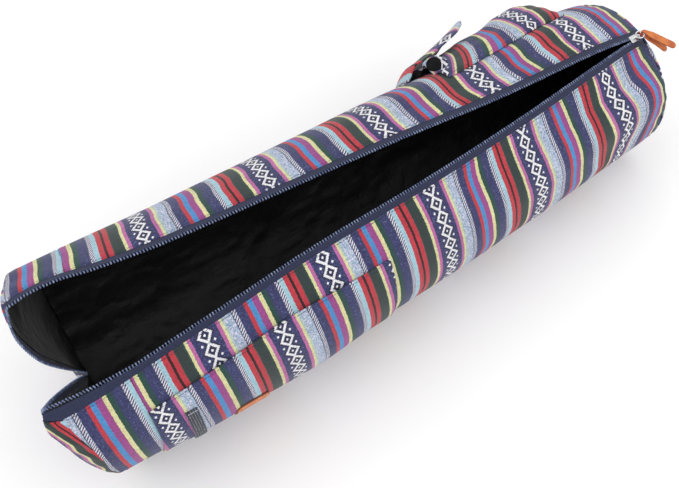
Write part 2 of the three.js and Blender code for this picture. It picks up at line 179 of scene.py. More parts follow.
def drift(x, y):
    # slow, even wandering between -1 and 1
    x, y = np.broadcast_arrays(np.asarray(x, float), np.asarray(y, float))
    i, j = np.floor(x).astype(int), np.floor(y).astype(int)
    s, t = smooth(x - i), smooth(y - j)
    corner = lambda a, b: lattice[(i + a) % 64, (j + b) % 64]
    low = mix(corner(0, 0), corner(1, 0), s)
    high = mix(corner(0, 1), corner(1, 1), s)
    return mix(low, high, t)


# Puckers along a seam: wave length, how much it wanders, how slowly, and which wandering.
puckers = {
    "end": (2.9, 2.2, 21, 4.5),
    "rim": (5.1, 2.6, 33, 9.5),
    "zip": (2.6, 2, 17, 2.2),
    "split": (4.6, 2, 30, 1.5),
    "pocketTop": (2.7, 2, 14, 5.0),
    "pocketEnd": (2.9, 2, 17, 1.0),
}


def gathered(kind, at):
    wave, wander, pace, row = puckers[kind]
    return np.sin(at / wave + wander * drift(at / pace, row))


# How the cloth puffs and puckers, in mm outwards
softness = {
    "roll": 1.1,
    "endFold": 1.9,
    "endPucker": 0.9,
    "rimWrinkle": 0.91,
    "zipPucker": 0.28,
    # creases beside the mouth's edges: distance, width, share of the fold
    "frontCreases": ((56, 17, 1), (27, 11, -0.9), (88, 14, -0.8)),
    "backCreases": ((46, 15, 0.8), (22, 9, -0.64)),
}


def folds(x, angle):
    fromFront, fromBack = depths(x, angle)
    edge = np.minimum(fromFront, fromBack)
    calm = smooth(edge / 26)
    arc = np.radians(angle) * bag["radius"]
    lift = softness["roll"] * drift(x / 62 + 3, arc / 46) * calm
    fold = smooth((x - 20) / 230) * calm * ridges(softness["frontCreases"], fromFront)
    fold = fold + smooth((x + 60) / 160) * ridges(softness["backCreases"], fromBack)
    lift += softness["endFold"] * fold
    nearEnd = np.exp(-np.maximum(half - x, 0) / 13) * smooth(edge / 9)
    lift += softness["endPucker"] * nearEnd * (gathered("end", arc) - 1.0)
    nearRim = np.exp(-np.maximum(x - rimAt(angle), 0) / 22) * calm
    lift += softness["rimWrinkle"] * nearRim * (gathered("rim", arc) - 0.8)
    nearZip = np.exp(-np.maximum(edge - 3, 0) / 7) * smooth(edge / 3)
    lift += softness["zipPucker"] * nearZip * gathered("zip", x)
    return lift


def hull(x, angle, lift=0.0, soft=1.0):
    x, angle, lift = np.broadcast_arrays(
        np.asarray(x, float), np.asarray(angle, float), np.asarray(lift, float))
    r = radiusAt(x)
    out = r + lift + (folds(x, angle) * soft if soft else 0)
    turn = np.radians(angle)
    y = bag["radius"] * alongBag("sway", x) - out * np.sin(turn)
    z = r - bag["settle"] + out * np.cos(turn)
    return np.stack([x, y, np.maximum(z, np.maximum(-lift, 0))], -1)


# Split end: rim, zip line and the cloth between them

# The zip's corners, beyond the cloth's corners by shares of the zip's width.
corners = {"front": {"along": 1.28, "around": 1.93}, "back": {"along": 0.15, "around": 0.87}}


def sideOf(side):
    return (frontAt, corners["front"]) if side > 0 else (backAt, corners["back"])


def cornerAlong(side):
    edgeAt, beyond = sideOf(side)
    return rimAt(edgeAt(-half)) - beyond["along"] * bag["zipWidth"]


def cornerPoint(side):
    edgeAt, beyond = sideOf(side)
    reach = np.degrees(beyond["around"] * bag["zipWidth"] / radiusAt(-half))
    return hull(cornerAlong(side), edgeAt(-half) - side * reach)


splitLines = {
    "front": {
        "share": (0, 0.36, 0.68, 1),
        "at": (-0.874, -0.923, -0.985),
        "across": (0.159, -0.11, -0.393),
        "up": (0.53, 1.03, 1.47),
        "corner": cornerPoint(1),
    },
    "back": {
        "share": (0, 0.35, 0.6, 0.78, 0.9, 1),
        "at": (-0.874, -0.936, -0.972, -0.991, -0.991),
        "across": (0.159, 0.056, 0.012, 0.083, 0.153),
        "up": (0.53, 1.06, 1.43, 1.69, 1.84),
        "corner": cornerPoint(-1),
    },
}


def splitEdge(s):
    share = np.abs(1 - 2 * s)
    sides = []
    for line in (splitLines["front"], splitLines["back"]):
        cols = []
        for axis, (name, size) in enumerate(
                (("at", half), ("across", bag["radius"]), ("up", bag["radius"]))):
            values = [v * size for v in line[name]] + [float(line["corner"][axis])]
            cols.append(follow(line["share"], values, share))
        sides.append(np.stack(cols, -1))
    return np.where((np.asarray(s) < 0.5)[..., None], sides[0], sides[1])


def rimPoint(s):
    angle = mix(frontAt(-half), backAt(-half), s)
    return hull(rimAt(angle), angle)


# How far the split end's cloth bulges, in mm: at the foot of the split and at the corner.
bulge = {
    "front": (7, 13),
    "frontPace": 1.6,
    "back": (8, 4),
    "backFrom": 0.62,
    "backOver": 0.3,
    "fullReach": 40,
    "skew": 0.75,
}


def capPoint(s, u):
    s, u = np.broadcast_arrays(np.asarray(s, float), np.asarray(u, float))
    rim, edge = rimPoint(s), splitEdge(s)
    near = np.abs(1 - 2 * s)
    front = mix(*bulge["front"], smooth(near * bulge["frontPace"]))
    back = mix(*bulge["back"], smooth((near - bulge["backFrom"]) / bulge["backOver"]))
    swell = np.where(s < 0.5, front, back)
    swell = swell * np.minimum(np.linalg.norm(edge - rim, axis=-1) / bulge["fullReach"], 1)
    p = rim + (edge - rim) * u[..., None]
    p[..., 0] -= swell * np.sin(np.pi * np.clip(u, 0, 1) ** bulge["skew"])
    return p


def capReach(s):
    return np.linalg.norm(splitEdge(s) - rimPoint(s), axis=-1)


def clothShare(s):
    # share of the way from the rim to the zip line at which the cloth ends
    reach = capReach(s)
    corner = np.clip(1 - np.minimum(s, 1 - s) / 0.009, 0, 1)
    width = np.minimum(mix(bag["zipWidth"], reach, corner), reach)
    return np.maximum(1 - width / reach, 0.02)


# Zip lines: the cloth's edge and the teeth, from the slider's end to the foot of the split

zipEnd = 0.985 * half
widenFrom = -0.78 * half


def zipLine(side, offset):
    edgeAt, beyond = sideOf(side)
    long = np.linspace(zipEnd, bag["seamX"], 200)
    corner = mix(rimAt(edgeAt(-half)), cornerAlong(side), offset / bag["zipWidth"])
    short = np.linspace(bag["seamX"], corner, 24)[1:]
    x = np.concatenate([long, short])
    nearCorner = np.clip((widenFrom - x) / (widenFrom - corner), 0, 1)
    width = offset * mix(1, beyond["around"], nearCorner)
    body = hull(x, edgeAt(x) - side * np.degrees(width / radiusAt(x)))
    s = 0.5 * np.linspace(0.0, 1, 110)[1:] ** 1.5
    s = s if side > 0 else 1 - s
    start, stop = capPoint(s, clothShare(s)), capPoint(s, 1.0)
    return np.concatenate([body, start + (stop - start) * offset / bag["zipWidth"]])


def arcOf(line):
    return np.concatenate([[0], np.cumsum(np.linalg.norm(np.diff(line, axis=0), axis=1))])


def pick(line, arc, at):
    return np.stack([np.interp(at, arc, line[:, k]) for k in range(3)], -1)


def unit(v):
    return v / np.maximum(np.linalg.norm(v, axis=-1, keepdims=True), 1e-12)


def evened(v, reach):
    # running mean along the first axis, the ends held
    kernel = np.ones(2 * reach + 1) / (2 * reach + 1)
    padded = np.concatenate([np.repeat(v[:1], reach, 0), v, np.repeat(v[-1:], reach, 0)])
    return np.stack([np.convolve(padded[:, k], kernel, "valid") for k in range(3)], -1)


def zipRails(side, step):
    cloth, teeth = zipLine(side, 0.0), zipLine(side, bag["zipWidth"])
    arc = arcOf(teeth)
    at = np.arange(0, arc[-1] - 0.2, step)
    a, b = pick(cloth, arc, at), pick(teeth, arc, at)
    b = evened(b, max(int(round(2.4 / step)), 1))
    along = unit(np.gradient(b, axis=0))
    out = unit(-side * np.cross(along, b - a))
    out = unit(evened(out, max(int(round(5 / step)), 1)))
    return {"cloth": a, "teeth": b, "out": out, "along": along, "across": unit(b - a)}


# Materials: a socket that can be summed, scaled and compared as a number is

def operator(operation, swapped=False):
    def applied(self, other):
        return self.maths(operation, *((other, self) if swapped else (self, other)))
    return applied


class Wire:
    def __init__(self, tree, socket=None):
        self.tree = tree
        self.socket = socket

    def node(self, kind, settings, inputs, out=0):
        made = self.tree.nodes.new("ShaderNode" + kind)
        for key, value in settings.items():
            if key == "stops":
                layStops(made.color_ramp, value)
            elif key == "steps":
                made.color_ramp.interpolation = value
            else:
                setattr(made, key, value)
        for key, value in inputs.items():
            if isinstance(value, Wire):
                self.tree.links.new(value.socket, made.inputs[key])
            else:
                made.inputs[key].default_value = value
        return Wire(self.tree, made.outputs[out])

    def maths(self, operation, *values):
        return self.node("Math", {"operation": operation}, dict(enumerate(values)))

    __add__, __radd__ = operator("ADD"), operator("ADD", True)
    __sub__, __rsub__ = operator("SUBTRACT"), operator("SUBTRACT", True)
    __mul__, __truediv__ = operator("MULTIPLY"), operator("DIVIDE")
    __mod__ = operator("FLOORED_MODULO")
    __lt__, __gt__ = operator("LESS_THAN"), operator("GREATER_THAN")

    def __abs__(self):
        return self.maths("ABSOLUTE", self)

    def floor(self):
        return self.maths("FLOOR", self)

    def between(self, low, high):
        return (self > low) * (self < high)

    def ease(self, low, high):
        # 0 below low, 1 above high
        return self.node("MapRange", {"interpolation_type": "SMOOTHSTEP"},
                         {0: self, 1: low, 2: high})

    def mixed(self, a, b):
        # colour a where this is 0, colour b where it is 1
        return self.node("Mix", {"data_type": "RGBA"}, {0: self, 6: a, 7: b}, out=2)

    def scaled(self, amount):
        return self.node("VectorMath", {"operation": "SCALE"}, {0: self, "Scale": amount})

    def position(self):
        return self.node("NewGeometry", {}, {})

    def woven(self):
        # the two directions of the weave
        uv = self.node("UVMap", {"uv_map": "weave"}, {})
        return [self.node("SeparateXYZ", {}, {0: uv}, axis) for axis in (0, 1)]

    def noise(self, vector, scale, detail=2.0, rough=0.5):
        return self.node("TexNoise", {}, {
            "Vector": vector, "Scale": scale, "Detail": detail, "Roughness": rough})

    def speck(self, x, y):
        # one random value for each whole-numbered place
        spot = self.node("CombineXYZ", {}, {0: x, 1: y, 2: 0.0})
        return self.node("TexWhiteNoise", {"noise_dimensions": "3D"}, {"Vector": spot})

    def bump(self, height, distance, strength):
        return self.node("Bump", {}, {
            "Strength": strength, "Distance": distance, "Height": height})


def shade(code):
    # a colour from its hex code, in linear light
    parts = [int(code[i:i + 2], 16) / 255 for i in (1, 3, 5)]
    return tuple(c / 12.92 if c <= 0.04045 else ((c + 0.055) / 1.055) ** 2.4 for c in parts) + (1,)


def layStops(ramp, stops):
    while len(ramp.elements) < len(stops):
        ramp.elements.new(0.5)
    for element, (at, colour) in zip(ramp.elements, stops):
        element.position = at
    for element, (at, colour) in zip(ramp.elements, stops):
        element.color = colour


def newMaterial(name, **fixed):
    made = bpy.data.materials.new(name)
    made.use_nodes = True
    shader = made.node_tree.nodes["Principled BSDF"]
    for key, value in fixed.items():
        shader.inputs[key].default_value = value

    def feed(**sockets):
        for key, wire in sockets.items():
            made.node_tree.links.new(wire.socket, shader.inputs[key.replace("_", " ")])

    return made, Wire(made.node_tree), feed


# Striped cloth. Shares of one repeat, counted from the middle of the diamond band.
weave = {
    "repeat": 118.0,
    "thread": 0.95,
    "cell": 0.95,
    "diamond": 14.6,
    "diamondCells": 13.5,
    # where the diamonds start below the mouth's front edge
    "depth": 4.0,
}
dyes = {
    "navy": shade("#343664"),
    "deep": shade("#1d1f38"),
    "pink": shade("#b9689f"),
    "yellow": shade("#dad6a0"),
    "heather": shade("#a3b9cd"),
    "lilac": shade("#bdb6d2"),
    "red": shade("#bd3642"),
    "blue": shade("#4a8cc6"),
    "magenta": shade("#9a4788"),
    "green": shade("#22483f"),
    "sky": shade("#a0c6d4"),
    "black": shade("#2b1219"),
    "charcoal": shade("#232f30"),
    "white": shade("#eeedf2"),
    "fleck": shade("#dcdbe8"),
}
stripes = (
    (0.0, "navy"), (0.100, "pink"), (0.127, "yellow"), (0.148, "heather"), (0.229, "fleck"),
    (0.264, "navy"), (0.330, "red"), (0.360, "blue"), (0.402, "magenta"), (0.453, "yellow"),
    (0.481, "green"), (0.520, "navy"), (0.593, "fleck"), (0.632, "sky"), (0.666, "red"),
    (0.706, "black"), (0.723, "red"), (0.764, "charcoal"), (0.844, "yellow"), (0.870, "pink"),
    (0.896, "navy"),
)
# Bands that get more than one dye
zones = {
    "green": (0.481, 0.593),
    "greenInNavy": (0.520, 0.593),
    "charcoal": (0.764, 0.844),
    "firstNavy": (0.264, 0.330),
    "secondNavy": (0.535, 0.593),
    "middle": (0.100, 0.896),
    "heather": (0.148, 0.232),
}
# speckled zigzag lines: start, middle, end
zigzags = ((0.229, 0.2465, 0.264), (0.593, 0.6125, 0.632))
dashes = {"pitch": 2.95, "slant": 0.9, "edge": 0.006}


def stripedCloth():
    made, w, feed = newMaterial("woven_striped_cloth", Roughness=0.92, **{"Sheen Weight": 0.12})
    along, around = [axis * weave["repeat"] for axis in w.woven()]
    row = (around / weave["thread"]).floor()
    column = (along / weave["thread"]).floor()
    jog = (w.speck(row, 3.0) - 0.5) * 0.5
    share = ((along + jog) / weave["repeat"]) % 1.0
    colour = w.node("ValToRGB", {
        "stops": [(at, dyes[name]) for at, name in stripes], "steps": "CONSTANT"}, {0: share})
    grain = w.speck(row, column)

    # green fades into navy, and the charcoal band is green at both sides
    inside = {name: share.between(*span) for name, span in zones.items()}
    colour = (share.ease(0.50, 0.55) * inside["green"]).mixed(colour, dyes["navy"])
    early = (1 - share.ease(0.505, 0.54)) * inside["greenInNavy"]
    colour = (early * 0.7).mixed(colour, dyes["green"])
    charcoalEdge = (1 - share.ease(0.766, 0.776)) + share.ease(0.832, 0.842)
    colour = (charcoalEdge * inside["charcoal"] * 0.8).mixed(colour, dyes["green"])
    twill = ((along + around) / 2.1 % 1.0) < 0.42
    colour = (twill * inside["charcoal"] * 0.22).mixed(colour, shade("#5c6e6a"))

    # navy threads are mottled with pale and mid blue ones
    spot = w.position()
    mottle = w.noise(spot, 640.0, 2.0, 0.6)
    inNavy = inside["firstNavy"] + inside["secondNavy"] + (1 - inside["middle"])
    colour = (mottle.ease(0.52, 0.72) * inNavy * 0.4).mixed(colour, shade("#7f8bbc"))
    colour = ((1 - mottle.ease(0.3, 0.46)) * inNavy * 0.6).mixed(colour, shade("#20223f"))

    # pale heather: lilac and blue threads, greenish beside the yellow
    inHeather = inside["heather"]
    colour = ((grain > 0.55) * inHeather * 0.75).mixed(colour, dyes["lilac"])
    colour = (mottle.ease(0.5, 0.64) * inHeather * 0.6).mixed(colour, dyes["white"])
    colour = ((1 - mottle.ease(0.36, 0.48)) * inHeather * 0.55).mixed(colour, shade("#7796b8"))
    colour = ((grain < 0.22) * inHeather * 0.6).mixed(colour, shade("#7f9dbd"))
    greenish = (1 - share.ease(0.150, 0.175)) * inHeather
    colour = (greenish * 0.55).mixed(colour, shade("#b4cfa6"))

    # slanting dark dashes on pale threads
    for low, middle, high in zigzags:
        slant = (share - middle) * weave["repeat"] * dashes["slant"]
        dash = ((around + slant) / dashes["pitch"] % 1.0) < 0.5
        dash = dash.maths("MAXIMUM", dash, share.between(low, low + dashes["edge"]))
        dash = dash * share.between(low, high)
        colour = (dash * 0.95).mixed(colour, shade("#2a2c50"))

    # chain of stepped diamonds with a dot in each and dots beside the joints
    off = abs(((share + 0.5) % 1.0) - 0.5) * weave["repeat"] / weave["cell"]
    up = abs((around / weave["diamond"]) % 1.0 - 0.5) * weave["diamondCells"]
    steps = (off + 0.5).floor() + (up + 0.5).floor()
    inBand = off < 9.2
    dark = ((steps > 1.5) * (steps < 4.5) + steps.between(7.5, 9.5)) * inBand
    colour = (dark * 0.8).mixed(colour, dyes["deep"])
    chain = steps.between(4.5, 7.5)
    dot = (off + up) < 1.35
    beside = (abs(off - 6.4) + (weave["diamondCells"] / 2 - up)) < 1.35
    figure = chain.maths("MAXIMUM", chain, dot)
    figure = chain.maths("MAXIMUM", figure, beside) * inBand
    colour = figure.mixed(colour, dyes["white"])

    # thread flecks, slow fading and a soft worn look
    fade = w.noise(spot, 34.0, 3.0, 0.6)
    worn = w.noise(spot, 420.0, 2.0, 0.6)
    value = 0.53 + grain * 0.24 + (fade - 0.5) * 0.3 + worn * 0.36
    feed(Base_Color=colour.scaled(value))
    ribs = abs((around / weave["thread"]) % 1.0 - 0.5) + abs((along / weave["thread"]) % 1.0 - 0.5)
    feed(Normal=w.bump(ribs * 0.6 + grain * 0.5, 0.00035, 0.55))
    return made


def blackLining():
    made, w, feed = newMaterial("black_satin_lining", **{
        "Sheen Weight": 0.25, "Sheen Roughness": 0.4, "Specular IOR Level": 0.45})
    at = w.position()
    patchy = w.noise(at, 22.0, 4.0, 0.6)
    feed(Base_Color=patchy.ease(0.3, 0.7).mixed(shade("#08080a"), shade("#111114")))
    feed(Roughness=0.42 + patchy * 0.22)
    crinkle = w.noise(at, 75.0, 5.0, 0.62)
    threads = w.noise(at, 1500.0, 1.0)
    feed(Normal=w.bump(crinkle + threads * 0.06, 0.0035, 0.55))
    return made


def ribbedTape():
    made, w, feed = newMaterial("navy_zip_tape", Roughness=0.85, **{"Sheen Weight": 0.15})
    along, over = w.woven()
    twill = abs(((along * 0.8 + over) / 0.9) % 1.0 - 0.5)
    spot = w.speck((along / 0.7).floor(), (over / 0.7).floor())
    tint = twill.ease(0.1, 0.45).mixed(shade("#12172e"), shade("#262e54"))
    feed(Base_Color=tint.scaled(0.75 + spot * 0.4))
    feed(Normal=w.bump(twill, 0.0003, 0.7))
    return made


def twoTone(name, dark, pale, grain, tint, rough, relief, fixed):
    # one noise (scale, detail, roughness) feeds the tint, the roughness and the relief
    made, w, feed = newMaterial(name, **fixed)
    cloudy = w.noise(w.position(), *grain)
    feed(Base_Color=cloudy.ease(*tint).mixed(shade(dark), shade(pale)))
    if rough:
        feed(Roughness=rough[0] + cloudy * rough[1])
    if relief:
        feed(Normal=w.bump(cloudy, *relief))
    return made


def yarn(name, dark, pale):
    return twoTone(name, dark, pale, (900.0, 2.0), (0.3, 0.7), None, (0.0002, 0.6),
                   {"Roughness": 0.8})


def tanLeather():
    made, w, feed = newMaterial("tan_leather", **{"Coat Weight": 0.08, "Coat Roughness": 0.35})
    at = w.position()
    grain = w.node("TexVoronoi", {"feature": "F1"}, {"Vector": at, "Scale": 900.0})
    cloudy = w.noise(at, 90.0, 4.0, 0.6)
    rim = w.woven()[1]
    tint = cloudy.ease(0.3, 0.7).mixed(shade("#a9501f"), shade("#cf7738"))
    tint = (rim.ease(0.80, 1.0) * 0.75).mixed(tint, shade("#5f2a10"))
    feed(Base_Color=tint.scaled(0.88 + grain * 0.3))
    feed(Roughness=0.42 + cloudy * 0.25)
    feed(Normal=w.bump(grain + cloudy * 0.4, 0.00035, 0.6))
    return made


def charcoalWebbing():
    made, w, feed = newMaterial("charcoal_webbing", Roughness=0.9, **{"Sheen Weight": 0.15})
    along, over = w.woven()
    rib = abs((over / 2.2) % 1.0 - 0.5) * 2.0
    loop = abs((along / 1.3 + rib * 0.5) % 1.0 - 0.5) * 2.0
    spot = w.speck((along / 0.65).floor(), (over / 0.73).floor())
    # pale flecks on the rib crests are partly pale yarn and partly painted highlight; each loop is also
    # painted lighter on its crest and darker in its dips, painted shade that follows the relief
    tint = (rib.ease(0.55, 0.95) * (spot > 0.45)).mixed(shade("#2e3039"), shade("#8f94a3"))
    feed(Base_Color=tint.scaled(0.75 + loop * 0.4))
    feed(Normal=w.bump(rib * 0.6 + loop * 0.4, 0.0005, 0.8))
    return made


finish = {
    "cloth": stripedCloth(),
    "lining": blackLining(),
    "tape": ribbedTape(),
    "teeth": twoTone("navy_zip_teeth", "#475379", "#8390b0", (260.0, 2.0), (0.35, 0.7),
                     (0.3, 0.25), None, {"Coat Weight": 0.25}),
    "navyThread": yarn("navy_thread", "#171c34", "#353f66"),
    "paleThread": yarn("pale_thread", "#a9adbb", "#dcdfe6"),
    "tanThread": yarn("tan_thread", "#d9b48a", "#f1dcc0"),
    "metal": twoTone("plated_silver_metal", "#c6c8cc", "#eceded", (420.0, 4.0, 0.6), (0.25, 0.75),
                     (0.16, 0.2), (0.00012, 0.4), {"Metallic": 1.0}),
    "leather": tanLeather(),
    "webbing": charcoalWebbing(),
    "snap": twoTone("black_press_stud", "#030304", "#0b0b0d", (300.0, 4.0, 0.6), (0.5, 0.8),
                    (0.3, 0.25), None, {"Specular IOR Level": 0.12}),
}
print("materials ready")

# Mesh makers


def finishMesh(mesh, materials, crease=48):
    work = bmesh.new()
    work.from_mesh(mesh)
    bmesh.ops.recalc_face_normals(work, faces=work.faces)
    work.to_mesh(mesh)
    work.free()
    mesh.shade_smooth()
    mesh.set_sharp_from_angle(angle=math.radians(crease))
    for material in materials:
        mesh.materials.append(material)


def addPiece(name, mesh, node=None):
    piece = bpy.data.objects.new(name, mesh)
    bpy.context.scene.collection.objects.link(piece)
    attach(piece, "root")
    if node:
        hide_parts(node)


def newMesh(name, points, corners, starts):
    mesh = bpy.data.meshes.new(name)
    mesh.vertices.add(len(points))
    mesh.vertices.foreach_set("co", place(points).ravel())
    mesh.loops.add(len(corners))
    mesh.loops.foreach_set("vertex_index", corners)
    mesh.polygons.add(len(starts))
    mesh.polygons.foreach_set("loop_start", starts)
    mesh.update(calc_edges=True)
    return mesh


def shell(name, node, outer, inner, uv, materials, crease=48, wrap=False):
    # one closed body from two grids of points, rows by columns
    rows, cols = outer.shape[:2]
    count = rows * cols
    across = cols if wrap else cols - 1
    j, i = np.meshgrid(np.arange(rows - 1), np.arange(across), indexing="ij")
    a = (j * cols + i).ravel()
    b = (j * cols + (i + 1) % cols).ravel()
    c, d = b + cols, a + cols
    faces = [np.stack([a, b, c, d], -1), np.stack([a, d, c, b], -1) + count]
    i = np.arange(across)
    for row in (0, rows - 1):
        e, f = row * cols + i, row * cols + (i + 1) % cols
        faces.append(np.stack([e, e + count, f + count, f], -1))
    if not wrap:
        j = np.arange(rows - 1)
        for col in (0, cols - 1):
            e, f = j * cols + col, (j + 1) * cols + col
            faces.append(np.stack([e, f, f + count, e + count], -1))
    faces = np.concatenate(faces)
    points = np.concatenate([outer.reshape(-1, 3), inner.reshape(-1, 3)])
    mesh = newMesh(name, points, faces.ravel(), np.arange(len(faces)) * 4)
    if len(materials) > 1:
        inside = np.zeros(len(faces), int)
        quads = across * (rows - 1)
        inside[quads:2 * quads] = 1
        mesh.polygons.foreach_set("material_index", inside)
    flat = np.concatenate([uv.reshape(-1, 2)] * 2)
    mesh.uv_layers.new(name="weave").data.foreach_set("uv", flat[faces.ravel()].ravel())
    finishMesh(mesh, materials, crease)
    addPiece(name, mesh, node)


def spread(total, step, fine=(0, 0.35, 0.8, 1.3, 1.9, 3.0)):
    # distances from a free edge to the other, close together at both edges
    # total may differ from row to row
    total = np.asarray(total, float)[:, None]
    fine = np.asarray(fine, float)
    count = max(int(round(float(total.max()) / step)), 4)
    middle = np.linspace(0, 1, count)[None, :]
    body = fine[-1] + (total - 2 * fine[-1]) * middle
    return np.concatenate([
        np.repeat(fine[None, :-1], len(total), 0), body, total - fine[None, -2::-1]], 1)


# Sewn edges in section: rows of distance from the edge, width, height
seams = {
    "hem": ((0, 0.35, -0.5), (0.8, 0.5, 0.3), (1.9, 0.45, -0.35)),
    "panelStart": ((0, 0.7, -0.55), (2.2, 1.2, 0.25)),
    "panelStop": ((0, 0.8, -0.75), (2.4, 1.3, 0.35)),
    "splitRim": ((0, 0.9, -0.7),),
    "frontPocket": ((0, 0.5, -0.6), (2.0, 0.5, -0.3)),
    "webbing": ((0, 0.35, -0.7),),
    "patch": ((0, 0.4, -0.8), (2.2, 0.5, -0.25)),
    "backPocket": ((0, 0.5, -0.6), (2.2, 0.5, -0.35)),
    "flap": ((0, 0.5, -0.5), (3.0, 0.6, -0.3)),
}


def sewn(kind, distance):
    return ridges(seams[kind], distance)


def beads(name, node, centres, along, side, out, section, material, sides=8):
    # many little bodies: section rows are (at, half width, half height)
    n = len(centres)
    rings = len(section)
    turn = 2 * np.pi * np.arange(sides) / sides
    points = np.zeros((n, rings, sides, 3))
    for k, (at, wide, high) in enumerate(section):
        ring = (np.cos(turn)[None, :, None] * side[:, None, :] * wide
                + np.sin(turn)[None, :, None] * out[:, None, :] * high)
        points[:, k] = centres[:, None, :] + along[:, None, :] * at + ring
    base = (np.arange(n) * rings * sides)[:, None, None]
    k, i = np.meshgrid(np.arange(rings - 1), np.arange(sides), indexing="ij")
    a = (k * sides + i)[None] + base
    b = (k * sides + (i + 1) % sides)[None] + base
    quads = np.stack([a, b, b + sides, a + sides], -1).reshape(-1, 4)
    lid = np.arange(sides)[None, :] + base[:, 0]
    caps = np.concatenate([lid[:, ::-1], lid + (rings - 1) * sides])
    corners = np.concatenate([quads.ravel(), caps.ravel()])
    starts = np.concatenate([np.arange(len(quads)) * 4, quads.size + np.arange(len(caps)) * sides])
    mesh = newMesh(name, points.reshape(-1, 3), corners, starts)
    mesh.uv_layers.new(name="weave")
    finishMesh(mesh, [material], 60)
    addPiece(name, mesh, node)


def stitchRun(name, x, angle, lift, thread, pitch=3.1, length=2.3, thick=0.24):
    # a row of stitches lying along places on the hull
    line = hull(x, angle, lift)
    out = unit(hull(x, angle, lift + 3) - line)
    arc = arcOf(line)
    at = np.arange(pitch, arc[-1] - pitch / 2, pitch)
    up = unit(pick(out, arc, at))
    along = unit(pick(line, arc, at + 0.5) - pick(line, arc, at - 0.5))
    section = [(at * length, wide * thick, high * thick) for at, wide, high in (
        (-0.5, 0.35, 0.3), (-0.36, 1, 0.8), (0.36, 1, 0.8), (0.5, 0.35, 0.3))]
    beads(name, None, pick(line, arc, at), along, unit(np.cross(along, up)), up, section,
          finish[thread], 6)


def normalsOf(grid):
    # the direction square to a grid of points
    return unit(np.cross(np.gradient(grid, axis=0), np.gradient(grid, axis=1)))


# How far the woven stripes wander from straight rings, in mm along the bag, listed.
# Each row stands at one place along the bag, its numbers at the depths named first.
sway = {
    "frontDepth": (0, 12, 25, 50, 75, 100),
    "front": (
        (-310, (0, 0, 0.5, 2.5, 5, 8)),
        (-272.1, (0, 0, 0.5, 2, 4.5, 7)),
        (-271.9, (-3.2, -3.2, -2.8, 0, 2.6, 4.2)),
        (-204, (-2.8, -2.7, -2.5, 0, 2, 3)),
        (-84, (-2, -1.8, -1.2, 0, 1, 2)),
        (34, (-2.4, -2, -1, 0, 1.6, 3)),
        (80, (0, -5, -5.6, -3, -1, 2.5)),
        (120, (-6, -7, -7, -5.5, -2, 1.5)),
        (152, (-5, -8.5, -8, -5, 0, 0)),
        (200, (-7, -7.5, -6.5, -4.5, -2, 3)),
        (240, (-4, -8, -10, -7, -1, 4)),
        (270, (-10, -10.5, -9, -1, 3.5, -4)),
        (288, (-9, -13, -12, -1, 1, -9)),
        (315, (-10, -11, -6, 1, 0, -4)),
    ),
    "backDepth": (0, 12, 25, 40, 60),
    "back": (
        (-300, (0, 2.5, 6, 9, 10)),
        (-265, (-2, 0.5, 4, 6, 8)),
        (-202, (-3, -1.4, 0, 3.6, 6)),
        (-84, (-4, -3, -2, 1, 2)),
        (34, (-3, -4, -2.4, -1, 0)),
        (89, (-4.2, -4.2, -3.3, -1.5, 0)),
        (120, (-5, -9, -8, -6, -1)),
        (152, (-3, -5, -4, -2, 0)),
        (207, (-3, -6, -6, -3, -2)),
        (238, (-3, -3, -3, -1, 0)),
        (254, (-2.7, -5.7, -4, -1, 0)),
        (270, (-5, -4.5, -3, -1, 0)),
        (315, (-6, -5.5, -5, -4, -2)),
    ),
}


def charted(rows, depths, x, depth):
    places = [row[0] for row in rows]
    total = np.zeros(np.broadcast(x, depth).shape)
    for k, (_, values) in enumerate(rows):
        peak = np.zeros(len(rows))
        peak[k] = 1
        total = total + np.interp(x, places, peak) * follow(depths, values, depth)
    return total


def stripeShift(x, angle):
    fromFront, fromBack = depths(x, angle)
    ahead = charted(sway["front"], sway["frontDepth"], x, np.clip(fromFront, 0, 100))
    behind = charted(sway["back"], sway["backDepth"], x, np.clip(fromBack, 0, 60))
    ahead = ahead * (1 - smooth((fromFront - 100) / 90))
    behind = behind * (1 - smooth((fromBack - 60) / 90))
    return np.where(fromFront < fromBack, ahead, behind)


# How far the diamonds are moved round the bag at each band, in mm, by the place along the bag.
bands = {
    "at": (-205, -87, 34, 150, 267),
    "front": (-1.2, -1.4, 1.4, 4.0, 9.3),
    "back": (-0.9, 5.7, -1.0, -7.4, -5.8),
    "half": 16,
}


def bandShift(side, x):
    places = np.ravel([(at - bands["half"], at + bands["half"]) for at in bands["at"]])
    return np.interp(x, places, np.repeat(bands[side], 2))


def diamondShift(x, angle):
    fromFront, fromBack = depths(x, angle)
    toBack = smooth((fromFront - fromBack) / 120 + 0.5)
    return mix(bandShift("front", x), bandShift("back", x), toBack)


def clothPattern(x, angle, origin, low, high):
    depth = depths(x, angle)[0] + weave["depth"]
    along = x - stripeShift(np.clip(x, low, high), angle) - origin
    return np.stack([along, depth + diamondShift(x, angle)], -1) / weave["repeat"]


def seamLine(angle):
    # where the end panel meets the main panel; it leans as the stripes do
    return bag["seamX"] + 0.75 * stripeShift(np.full(np.shape(angle), bag["seamX"]), angle)


# Main panel and end panel

panels = {"mainOrigin": 34.0, "endOrigin": -351.5, "step": 3.4, "rimGap": 0.8, "endGap": 1.2}


